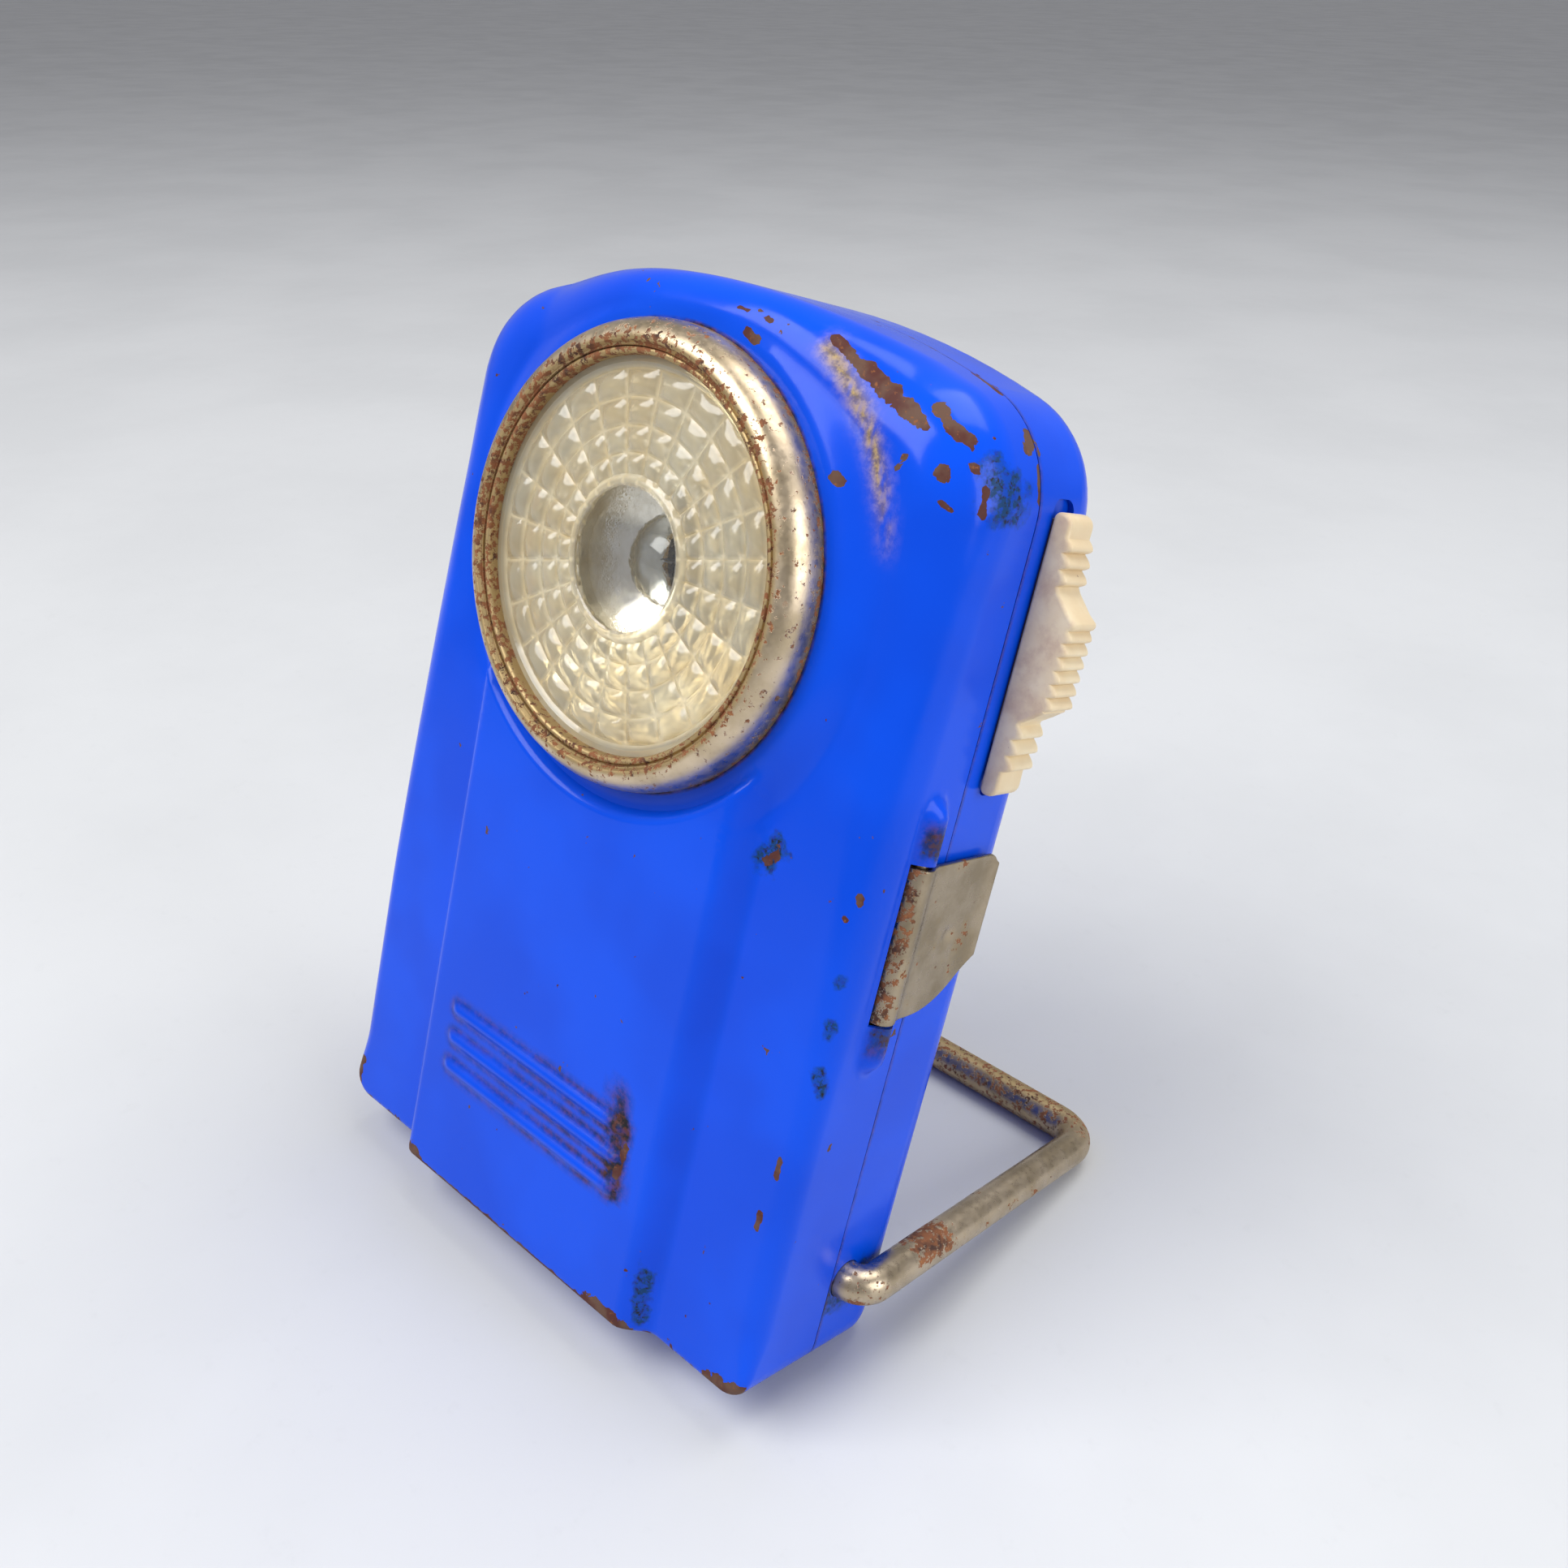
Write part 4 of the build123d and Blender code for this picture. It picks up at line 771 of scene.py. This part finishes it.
# ---- materials
class Shade:
    """Builds one node material; places are case-frame millimetres."""

    def __init__(self, name):
        self.material = bpy.data.materials.new(name)
        self.material.use_nodes = True
        self.tree = self.material.node_tree
        self.surface = self.tree.nodes["Principled BSDF"]
        coordinates = self.node("TexCoord")
        mapping = self.node("Mapping")
        mapping.inputs["Scale"].default_value = (1 / MM,) * 3
        mapping.inputs["Rotation"].default_value = case_axes.transposed().to_euler()
        mapping.inputs["Location"].default_value = row_to_case.translation
        self.tree.links.new(coordinates.outputs["Object"], mapping.inputs["Vector"])
        self.place = mapping.outputs["Vector"]
        split = self.node("SeparateXYZ")
        self.tree.links.new(self.place, split.inputs[0])
        self.x, self.y, self.z = split.outputs

    def node(self, kind, **settings):
        node = self.tree.nodes.new("ShaderNode" + kind)
        for key, value in settings.items():
            setattr(node, key, value)
        return node

    def feed(self, socket, value):
        if isinstance(value, bpy.types.NodeSocket):
            self.tree.links.new(value, socket)
        elif isinstance(value, (tuple, list)) and len(value) == 3 and socket.type == "RGBA":
            socket.default_value = (*value, 1)
        else:
            socket.default_value = value

    def calc(self, operation, a, b=0.0, clamp=False):
        node = self.node("Math", operation=operation, use_clamp=clamp)
        self.feed(node.inputs[0], a)
        self.feed(node.inputs[1], b)
        return node.outputs[0]

    def times(self, a, b, clamp=False):
        return self.calc("MULTIPLY", a, b, clamp)

    def plus(self, a, b):
        return self.calc("ADD", a, b)

    def minus(self, a, b):
        return self.calc("SUBTRACT", a, b)

    def apart(self, a, b):
        return self.calc("ABSOLUTE", self.minus(a, b))

    def rise(self, value, start, end, low=0.0, high=1.0):
        node = self.node("MapRange", interpolation_type="SMOOTHSTEP")
        for name, number in (("Value", value), ("From Min", start), ("From Max", end),
                             ("To Min", low), ("To Max", high)):
            self.feed(node.inputs[name], number)
        return node.outputs["Result"]

    def noise(self, size, seed=0.0, detail=3.0, roughness=0.55, squeeze=None):
        node = self.node("TexNoise", noise_dimensions="4D")
        vector = self.place
        if squeeze:
            stretcher = self.node("VectorMath", operation="MULTIPLY")
            self.feed(stretcher.inputs[0], vector)
            stretcher.inputs[1].default_value = squeeze
            vector = stretcher.outputs[0]
        self.feed(node.inputs["Vector"], vector)
        settings = {"W": seed, "Scale": 1 / size, "Detail": detail, "Roughness": roughness}
        for name, number in settings.items():
            node.inputs[name].default_value = number
        return node.outputs[0]

    def cloud(self, size, seed, detail, *span, roughness=0.55):
        """Noise brought to a range: span is where it starts and ends, and its values there."""
        return self.rise(self.noise(size, seed, detail, roughness), *span)

    def cells(self, size, seed=0.0):
        """Distance from the nearest scattered point, and a random number for each point."""
        node = self.node("TexVoronoi", voronoi_dimensions="4D")
        self.feed(node.inputs["Vector"], self.place)
        node.inputs["Scale"].default_value = 1 / size
        node.inputs["W"].default_value = seed
        split = self.node("SeparateColor")
        self.feed(split.inputs[0], node.outputs["Color"])
        return node.outputs["Distance"], split.outputs[0]

    def specks(self, size, share, radius, seed=0.0):
        """Scattered ragged spots: share is how many of the scattered points carry one."""
        distance, pick = self.cells(size, seed)
        ragged = self.plus(distance, self.times(self.noise(size * 0.16, seed, 2), 0.22))
        reach = self.times(self.rise(pick, 1 - share, 1), radius + 0.14)
        return self.calc("LESS_THAN", ragged, reach)

    def mix(self, factor, a, b):
        node = self.node("Mix", data_type="RGBA")
        self.feed(node.inputs["Factor"], factor)
        self.feed(node.inputs[6], a)
        self.feed(node.inputs[7], b)
        return node.outputs[2]

    def most(self, *values):
        result = values[0]
        for value in values[1:]:
            result = self.calc("MAXIMUM", result, value)
        return result

    def stored(self, name):
        return self.node("Attribute", attribute_name=name).outputs["Fac"]

    def bump(self, height, depth, onto=None):
        node = self.node("Bump")
        node.inputs["Strength"].default_value = 1.0
        node.inputs["Distance"].default_value = depth * MM
        self.feed(node.inputs["Height"], height)
        if onto is not None:
            self.feed(node.inputs["Normal"], onto)
        return node.outputs[0]

    def lens_radius(self):
        """Distance from the lens axis."""
        drop = self.minus(self.z, LENS_Z)
        return self.calc("SQRT", self.plus(self.times(self.x, self.x), self.times(drop, drop)))

    def set(self, **values):
        names = {
            "colour": "Base Color", "roughness": "Roughness", "metallic": "Metallic",
            "normal": "Normal", "transmission": "Transmission Weight", "ior": "IOR",
            "coat": "Coat Weight", "coat_roughness": "Coat Roughness",
            "specular": "Specular IOR Level",
        }
        for key, value in values.items():
            self.feed(self.surface.inputs[names[key]], value)
        return self.material


BLUE = (0.001, 0.078, 0.77)
BLUE_DEEP = (0.001, 0.064, 0.67)
RUST_DARK = (0.055, 0.022, 0.014)
RUST = (0.25, 0.09, 0.032)
RUST_PALE = (0.40, 0.18, 0.06)
BARE = (0.50, 0.35, 0.12)
BARE_DARK = (0.17, 0.12, 0.09)
PRIMER = (0.13, 0.072, 0.05)
PRIMER_RED = (0.09, 0.03, 0.024)
SOOT_AND_SHADE = (0.012, 0.012, 0.016)
SCUFF_BLUE = (0.004, 0.045, 0.14)
SCUFF_DARK = (0.012, 0.012, 0.012)
TARNISH = (0.46, 0.33, 0.15)
NICKEL = (0.62, 0.51, 0.37)
NICKEL_DULL = (0.44, 0.35, 0.23)


def rust_colour(shade, seed=0.0):
    patch = shade.mix(shade.cloud(1.2, seed + 3, 3, 0.3, 0.55), RUST_DARK, RUST)
    return shade.mix(shade.cloud(0.35, seed + 4, 4, 0.55, 0.75), patch, RUST_PALE)


def paint(name, *fields):
    """Blue stove enamel; the surface gives its fields of rust, scuffs, wear, and grime with painted shade."""
    shade = Shade(name)
    rust, scuff, worn, grime_and_shade = (field(shade) for field in fields)
    ragged = shade.times(shade.minus(shade.noise(1.5, 1, 4, 0.55), 0.5), 2.2)
    chips = shade.calc("GREATER_THAN", shade.plus(rust, ragged), 0.22)
    small = shade.most(shade.specks(4.2, 0.30, 0.11, 1), shade.specks(1.9, 0.10, 0.09, 2),
                       shade.specks(9.0, 0.30, 0.05, 3))
    chips = shade.most(chips, small)
    blue = shade.mix(shade.cloud(16, 2, 2, 0.35, 0.65), BLUE_DEEP, BLUE)
    mottle = shade.cloud(0.7, 6, 4, 0.42, 0.58, roughness=0.7)
    torn = shade.plus(scuff, shade.times(ragged, 0.9))
    in_scuff = shade.times(shade.rise(torn, 0.0, 0.6), shade.rise(mottle, 0.0, 1.0, 0.5, 1.0))
    dirt = shade.mix(shade.cloud(0.5, 12, 3, 0.5, 0.6), SCUFF_BLUE, SCUFF_DARK)
    colour = shade.mix(in_scuff, blue, dirt)
    grit = shade.cloud(0.9, 7, 4, 0.38, 0.6, roughness=0.65)
    streaks = shade.noise(2.0, 8, 3, 0.5, (1.0, 1.0, 0.4))
    in_worn = shade.times(worn, shade.rise(streaks, 0.32, 0.52), True)
    colour = shade.mix(in_worn, colour, shade.mix(grit, BARE, BARE_DARK))
    # grime and painted shade darken the paint towards soot black and red primer
    in_grime_and_shade = shade.times(grime_and_shade, shade.cloud(2.6, 13, 4, 0.3, 0.6, 0.3, 1.0), True)
    colour = shade.mix(in_grime_and_shade, colour, shade.mix(mottle, SOOT_AND_SHADE, PRIMER_RED))
    primer = shade.mix(shade.cloud(3.0, 14, 3, 0.4, 0.6), PRIMER, PRIMER_RED)
    primer = shade.mix(shade.cloud(0.5, 15, 4, 0.58, 0.7), primer, RUST)
    colour = shade.mix(chips, colour, primer)
    rough = shade.most(shade.times(chips, 0.85), shade.times(in_grime_and_shade, 0.6),
                       shade.times(in_scuff, 0.55), shade.times(in_worn, 0.6),
                       shade.cloud(7, 9, 3, 0.3, 0.7, 0.15, 0.24))
    peel = shade.bump(shade.noise(1.5, 10, 2), 0.012)
    pits = shade.bump(shade.minus(1.0, chips), 0.06, peel)
    wave = shade.bump(shade.noise(14, 11, 1), 0.18, pits)
    return shade.set(colour=colour, roughness=rough, normal=wave, specular=0.18,
                     coat=0.04, coat_roughness=0.06)


def front_paint():
    def rust(shade):
        edge = shade.times(shade.stored("edge"), 0.42)
        return shade.most(shade.stored("rust"), shade.minus(edge, 0.25))

    def grime_and_shade(shade):
        # painted shade: the paint darkens in a thin ring just outside the bezel's edge
        shade_under_bezel = shade.rise(shade.lens_radius(), BEZEL_RADIUS + 0.05, BEZEL_RADIUS + 0.45, 1.0, 0.0)
        return shade.most(shade.stored("grime_and_shade"), shade_under_bezel)

    return paint("front_paint", rust, lambda s: s.stored("scuff"), lambda s: s.stored("worn"), grime_and_shade)


def rear_paint():
    def rust(shade):
        seam = shade.rise(shade.apart(shade.y, SEAM + 0.3), 0.2, 1.1, 0.02, -0.5)
        crown = shade.rise(shade.z, 92.0, 101.0, -0.5, 0.0)
        foot = shade.rise(shade.z, 0.1, 1.4, 0.02, -0.5)
        return shade.most(shade.plus(seam, crown), foot)

    def scuff(shade):
        drop = shade.minus(shade.z, 9.0)
        near = shade.rise(shade.calc("ABSOLUTE", drop), 1.0, 5.0, 0.5, -0.4)
        on_side = shade.rise(shade.calc("ABSOLUTE", shade.x), 33.5, 34.8, -0.5, 0.5)
        return shade.calc("MINIMUM", near, on_side)

    # the last field is painted shade: a dark line along the seam with the front shell
    return paint("rear_paint", rust, scuff, lambda s: s.times(s.y, 0.0),
                 lambda s: s.rise(s.apart(s.y, SEAM + 0.3), 0.0, 0.6, 0.5, 0.0))


def nickel(name, rust_level, seed, rust_near=None, tarnish_near=None, tone=1.0):
    """Aged nickel plate: warm grey metal with specks and patches of rust and yellow-brown tarnish."""
    shade = Shade(name)
    bright, dull = (tuple(tone * part for part in colour) for colour in (NICKEL, NICKEL_DULL))
    base = shade.mix(shade.cloud(5, seed, 4, 0.35, 0.65), bright, dull)
    specks = shade.most(shade.specks(0.9, 0.45, 0.18, seed), shade.specks(1.7, 0.4, 0.16, seed + 1))
    bloom = shade.noise(4.0, seed + 2, 5, 0.7)
    patches = shade.calc("GREATER_THAN", bloom, 1 - rust_level)
    rusty = shade.most(patches, shade.times(specks, shade.rise(bloom, 0.35, 0.55)))
    if rust_near:
        speckle = shade.cloud(0.7, seed + 5, 4, 0.28, 0.72, 0.15, 0.75, roughness=0.7)
        near = shade.plus(rust_near(shade), speckle)
        rusty = shade.most(rusty, shade.rise(near, 0.95, 1.05))
    stain = shade.rise(bloom, 0.5, 0.75, 0.0, 0.5)
    if tarnish_near:
        stain = shade.most(stain, tarnish_near(shade))
    stained = shade.mix(stain, base, TARNISH)
    colour = shade.mix(rusty, stained, rust_colour(shade, seed))
    haze = shade.cloud(0.8, seed + 6, 4, 0.3, 0.7, 0.24, 0.4)
    haze = shade.plus(haze, shade.times(stain, 0.25))
    rough = shade.most(haze, shade.times(rusty, 0.85))
    metal = shade.minus(1.0, rusty)
    grain = shade.bump(shade.noise(0.35, seed + 7, 4), 0.01)
    pits = shade.bump(shade.minus(1.0, rusty), 0.03, grain)
    return shade.set(colour=colour, roughness=rough, metallic=metal, normal=pits)


def bezel_nickel():
    def groove_distance(shade):
        middle = BEZEL_RADIUS - ROLL_WIDTH - 0.75
        return shade.apart(shade.lens_radius(), middle)

    def rust(shade):
        upper_left = shade.minus(shade.minus(shade.z, LENS_Z), shade.x)
        worse = shade.rise(upper_left, -5.0, 28.0, 0.0, 0.05)
        ring = shade.rise(groove_distance(shade), 0.5, 1.9, 0.51, 0.32)
        wall = shade.rise(shade.y, ROLL_START - 0.9, ROLL_START + 0.7, 0.0, 0.52)
        return shade.plus(shade.most(ring, wall), worse)

    def tarnish(shade):
        wall = shade.rise(shade.y, ROLL_START - 1.2, ROLL_START + 0.9, 0.0, 0.8)
        return shade.most(shade.rise(groove_distance(shade), 0.7, 1.3, 0.85, 0.12), wall)

    return nickel("bezel_nickel", 0.37, 20, rust, tarnish, 1.15)


def stand_nickel():
    def rust(shade):
        from_pivot = shade.minus(shade.y, WIRE_Y)
        bend = shade.rise(shade.calc("ABSOLUTE", from_pivot), 1.0, 5.0, 0.36, 0.0)
        from_patch = shade.apart(from_pivot, 10.5)
        patch = shade.rise(from_patch, 1.5, 6.5, 0.68, 0.0)
        top = shade.rise(shade.minus(shade.z, WIRE_Z + 1.0), -0.8, 0.8)
        right = shade.calc("GREATER_THAN", shade.x, 0.0)
        patch = shade.times(patch, shade.times(top, right))
        bar = shade.rise(shade.y, WIRE_Y + 38.0, WIRE_Y + 45.0, 0.0, 0.47)
        return shade.most(bend, patch, bar)

    def tarnish(shade):
        return shade.rise(shade.y, WIRE_Y + 40.0, WIRE_Y + 47.0, 0.0, 0.75)

    return nickel("stand_nickel", 0.39, 30, rust, tarnish, 0.9)


def latch_nickel():
    def rust(shade):
        return shade.rise(shade.y, LATCH_Y - 1.6, LATCH_Y + 0.4, 0.60, 0.18)
    return nickel("latch_nickel", 0.37, 40, rust, tone=0.66)


def facet_lines(shade, r):
    """1 along the circles and spokes between the lens's facets, 0 a little way from them."""
    lines = []
    for bound in FACET_BOUNDS:
        away = shade.apart(r, bound)
        lines.append(shade.rise(away, 0.0, 0.42, 1.0, 0.0))
    drop = shade.minus(shade.z, LENS_Z)
    sector = shade.times(shade.calc("ARCTAN2", drop, shade.x), SECTORS / (2 * pi))
    part = shade.minus(0.5, shade.apart(shade.calc("FRACT", sector), 0.5))
    across = shade.times(part, shade.times(r, 2 * pi / SECTORS))
    spokes = shade.rise(across, 0.0, 0.38, 1.0, 0.0)
    inside = shade.calc("LESS_THAN", r, FACET_BOUNDS[-1])
    return shade.most(*lines, shade.times(spokes, inside))


def lens_plastic():
    """Yellowed clear plastic: clear in the bullseye, milky facets with darker lines between."""
    shade = Shade("lens_plastic")
    r = shade.lens_radius()
    outside = shade.rise(r, DISC_RADIUS - 0.1, DISC_RADIUS + 0.3)
    age = shade.cloud(6, 60, 3, 0.3, 0.7)
    stained = shade.mix(age, (0.98, 0.92, 0.72), (0.97, 0.83, 0.55))
    line = facet_lines(shade, r)
    depth_of_line = shade.cloud(2.2, 64, 3, 0.35, 0.65, 0.15, 0.65)
    stained = shade.mix(shade.times(line, depth_of_line), stained, (0.76, 0.60, 0.32))
    colour = shade.mix(outside, (0.97, 0.97, 0.95), stained)
    haze = shade.times(outside, 0.04)
    scratches = shade.noise(0.5, 61, 3, 0.6, (1.0, 1.0, 0.12))
    rough = shade.plus(haze, shade.rise(scratches, 0.55, 0.8, 0.02, 0.08))
    milky = shade.times(outside, shade.plus(0.30, shade.times(line, 0.25)))
    clear = shade.minus(1.0, milky)
    ripple = shade.bump(shade.noise(1.3, 62, 3), 0.035)
    return shade.set(colour=colour, roughness=rough, transmission=clear, normal=ripple, ior=1.49,
                     coat=0.2, coat_roughness=0.08)


def spun_metal():
    shade = Shade("spun_metal")
    r = shade.lens_radius()
    rings = shade.calc("SINE", shade.times(r, 26.0))
    tarnish = shade.cloud(5, 70, 4, 0.35, 0.75)
    colour = shade.mix(tarnish, (0.93, 0.92, 0.89), (0.78, 0.74, 0.66))
    rough = shade.cloud(2, 71, 3, 0.3, 0.7, 0.10, 0.22)
    return shade.set(colour=colour, roughness=rough, metallic=1.0, normal=shade.bump(rings, 0.002))


def bulb_glass():
    shade = Shade("bulb_glass")
    smoke = shade.mix(shade.noise(3, 80, 2), (0.98, 0.99, 0.98), (0.90, 0.92, 0.92))
    rough = shade.cloud(2, 81, 3, 0.4, 0.8, 0.0, 0.04)
    return shade.set(colour=smoke, roughness=rough, transmission=1.0, ior=1.5)


def metal(name, bright, dull, seed, smooth=0.22, rough=0.45):
    """A bare metal with tarnish and fine drawn grain."""
    shade = Shade(name)
    tarnish = shade.cloud(3, seed, 4, 0.35, 0.7)
    colour = shade.mix(tarnish, bright, dull)
    spots = shade.specks(0.8, 0.3, 0.12, seed)
    colour = shade.mix(shade.times(spots, 0.6), colour, tuple(v * 0.35 for v in dull))
    polish = shade.cloud(1.2, seed + 1, 4, 0.3, 0.7, smooth, rough)
    grain = shade.noise(0.25, seed + 2, 3, 0.6, (1.0, 1.0, 0.1))
    return shade.set(colour=colour, roughness=polish, metallic=1.0, normal=shade.bump(grain, 0.006))


def matter(name, light, dark, seed, size, rough, grain_size, depth, detail=4.0, flecks=0.5):
    """A non-metal with two tones and its own grain."""
    shade = Shade(name)
    colour = shade.mix(shade.cloud(size, seed, detail, 0.35, 0.68), light, dark)
    fleck = shade.cloud(grain_size, seed + 1, 4, 0.56, 0.74, 0.0, flecks, roughness=0.7)
    colour = shade.mix(fleck, colour, tuple(v * 0.5 for v in dark))
    gloss = shade.cloud(size / 2, seed + 2, 3, 0.3, 0.7, rough, min(1.0, rough + 0.15))
    relief = shade.bump(shade.noise(grain_size, seed + 3, 4, 0.6), depth)
    return shade.set(colour=colour, roughness=gloss, normal=relief)


def ivory():
    """Ivory moulding, with brown dirt in its grooves and on its lower, lens-facing side, and painted shade along
    its base.
    """
    shade = Shade("ivory")
    tone = shade.mix(shade.cloud(4, 90, 3, 0.3, 0.7), (0.80, 0.67, 0.45), (0.74, 0.58, 0.36))
    side = shade.rise(shade.y, slider_low.y + 0.1, slider_low.y + 0.5, 1.0, 0.0)
    stain = shade.times(side, shade.cloud(2.4, 91, 5, 0.42, 0.72, 0.0, 0.6, roughness=0.65))
    colour = shade.mix(stain, tone, (0.52, 0.34, 0.23))
    # painted shade: a dark brown line along the base, where the slider meets the case
    foot = shade.rise(shade.x, HALF_WIDTH + 0.15, HALF_WIDTH + 0.4, 0.8, 0.0)
    colour = shade.mix(foot, colour, (0.10, 0.05, 0.03))
    dirt = shade.times(shade.specks(0.7, 0.35, 0.15, 92), 0.55)
    colour = shade.mix(dirt, colour, (0.24, 0.12, 0.07))
    rough = shade.cloud(1.0, 93, 4, 0.3, 0.7, 0.34, 0.55)
    grain = shade.bump(shade.noise(0.4, 94, 4), 0.015)
    return shade.set(colour=colour, roughness=rough, normal=grain)


def dress():
    """Give every piece and every CAD node its material."""
    by_slot = {
        "case_paint": rear_paint(),
        "nickel_trim": latch_nickel(),
        "stand_steel": stand_nickel(),
        "plain_steel": nickel("plain_steel", 0.38, 50),
        "lens_clear": lens_plastic(),
        "reflector_metal": spun_metal(),
        "bulb_clear": bulb_glass(),
        "brass": metal("brass", (0.72, 0.50, 0.20), (0.42, 0.27, 0.10), 100),
        "black_insulator": matter("vitrite", (0.02, 0.02, 0.024), (0.008, 0.008, 0.01), 110,
                                  2, 0.15, 0.5, 0.01),
        "solder": metal("solder", (0.62, 0.62, 0.62), (0.34, 0.34, 0.36), 120, 0.3, 0.6),
        "lamp_wire": metal("lamp_wire", (0.42, 0.42, 0.43), (0.22, 0.22, 0.24), 130),
        "ivory_plastic": ivory(),
        "fibre_board": matter("fibre_board", (0.33, 0.15, 0.07), (0.20, 0.085, 0.04), 140,
                              4, 0.6, 0.5, 0.03),
        "battery_card": matter("battery_card", (0.66, 0.50, 0.30), (0.50, 0.35, 0.19), 150,
                               6, 0.75, 0.35, 0.04),
        "battery_pitch": matter("battery_pitch", (0.028, 0.024, 0.022), (0.012, 0.011, 0.01), 160,
                                3, 0.35, 1.2, 0.08),
    }
    slots = {part["node"]: part["material_slot"] for part in record["subparts"]}
    for name, node in frame["nodes"].items():
        wear(node, by_slot[slots[name]])
    wear(front, front_paint())
    wear(ring, bezel_nickel())
    wear(glass, by_slot["lens_clear"])
    wear(thumb, by_slot["ivory_plastic"])
    wear(latch, by_slot["nickel_trim"])


def wear(piece, material):
    piece.data.materials.clear()
    piece.data.materials.append(material)


# ---- build the pieces
front = front_shell()
ring = bezel()
glass = clear_lens()
thumb = thumb_slider()
latch = side_latch()
dress()

# ---- floor, light and camera
FLOOR_SIZE = 20.0  # half the floor's side, in metres
floor_mesh = bpy.data.meshes.new("floor")
floor_corners = [(-FLOOR_SIZE, -FLOOR_SIZE, 0), (FLOOR_SIZE, -FLOOR_SIZE, 0),
                 (FLOOR_SIZE, FLOOR_SIZE, 0), (-FLOOR_SIZE, FLOOR_SIZE, 0)]
floor_mesh.from_pydata(floor_corners, [], [(0, 1, 2, 3)])
floor = add_object("floor", floor_mesh)
wear(floor, matter("floor_paint", (0.60, 0.61, 0.62), (0.56, 0.57, 0.58), 170, 60, 0.55, 3.0, 0.02,
                   flecks=0.05))

world = bpy.data.worlds.new("studio")
bpy.context.scene.world = world
world.use_nodes = True
sky = world.node_tree.nodes["Background"]
sky.inputs["Color"].default_value = (0.86, 0.86, 0.90, 1)
sky.inputs["Strength"].default_value = 0.42
bpy.context.scene.view_settings.view_transform = "Standard"


def softbox(name, place, target, size, power, tint=(1, 1, 1)):
    """A square area light, in metres, aimed at a point."""
    light = bpy.data.lights.new(name, "AREA")
    light.energy = power
    light.size = size
    light.color = tint
    lamp = add_object(name, light)
    lamp.location = place
    lamp.rotation_euler = (Vector(target) - Vector(place)).to_track_quat("-Z", "Y").to_euler()


middle = (0, 0, HEIGHT * MM / 2)
softbox("key", (-0.25, -0.45, 0.75), middle, 0.6, 7.0)
softbox("fill", (0.75, 0.10, 0.35), middle, 0.5, 3.2, (0.95, 0.97, 1.0))
softbox("overhead", (0.1, 0.35, 0.8), middle, 0.5, 3.0)

# the camera's place and directions are in the case frame
CAMERA_PLACE = (102.3, -104.1, 103.8)
CAMERA_FORWARD = Vector((-0.582, 0.759, -0.292))
CAMERA_RIGHT = Vector((0.732, 0.646, 0.216))
SENSOR = 36.0
LENS_LENGTH = 33.49

forward = (case_axes @ CAMERA_FORWARD).normalized()
right = case_axes @ CAMERA_RIGHT
right = (right - right.dot(forward) * forward).normalized()
up = right.cross(forward)
camera_data = bpy.data.cameras.new("camera")
camera_data.sensor_width = SENSOR
camera_data.lens = LENS_LENGTH
camera_data.clip_start = 0.005
camera = add_object("camera", camera_data)
turned = Matrix((right, up, -forward)).transposed().to_4x4()
camera.matrix_world = Matrix.Translation(case_to_row @ Vector(CAMERA_PLACE)) @ turned
bpy.context.scene.camera = camera
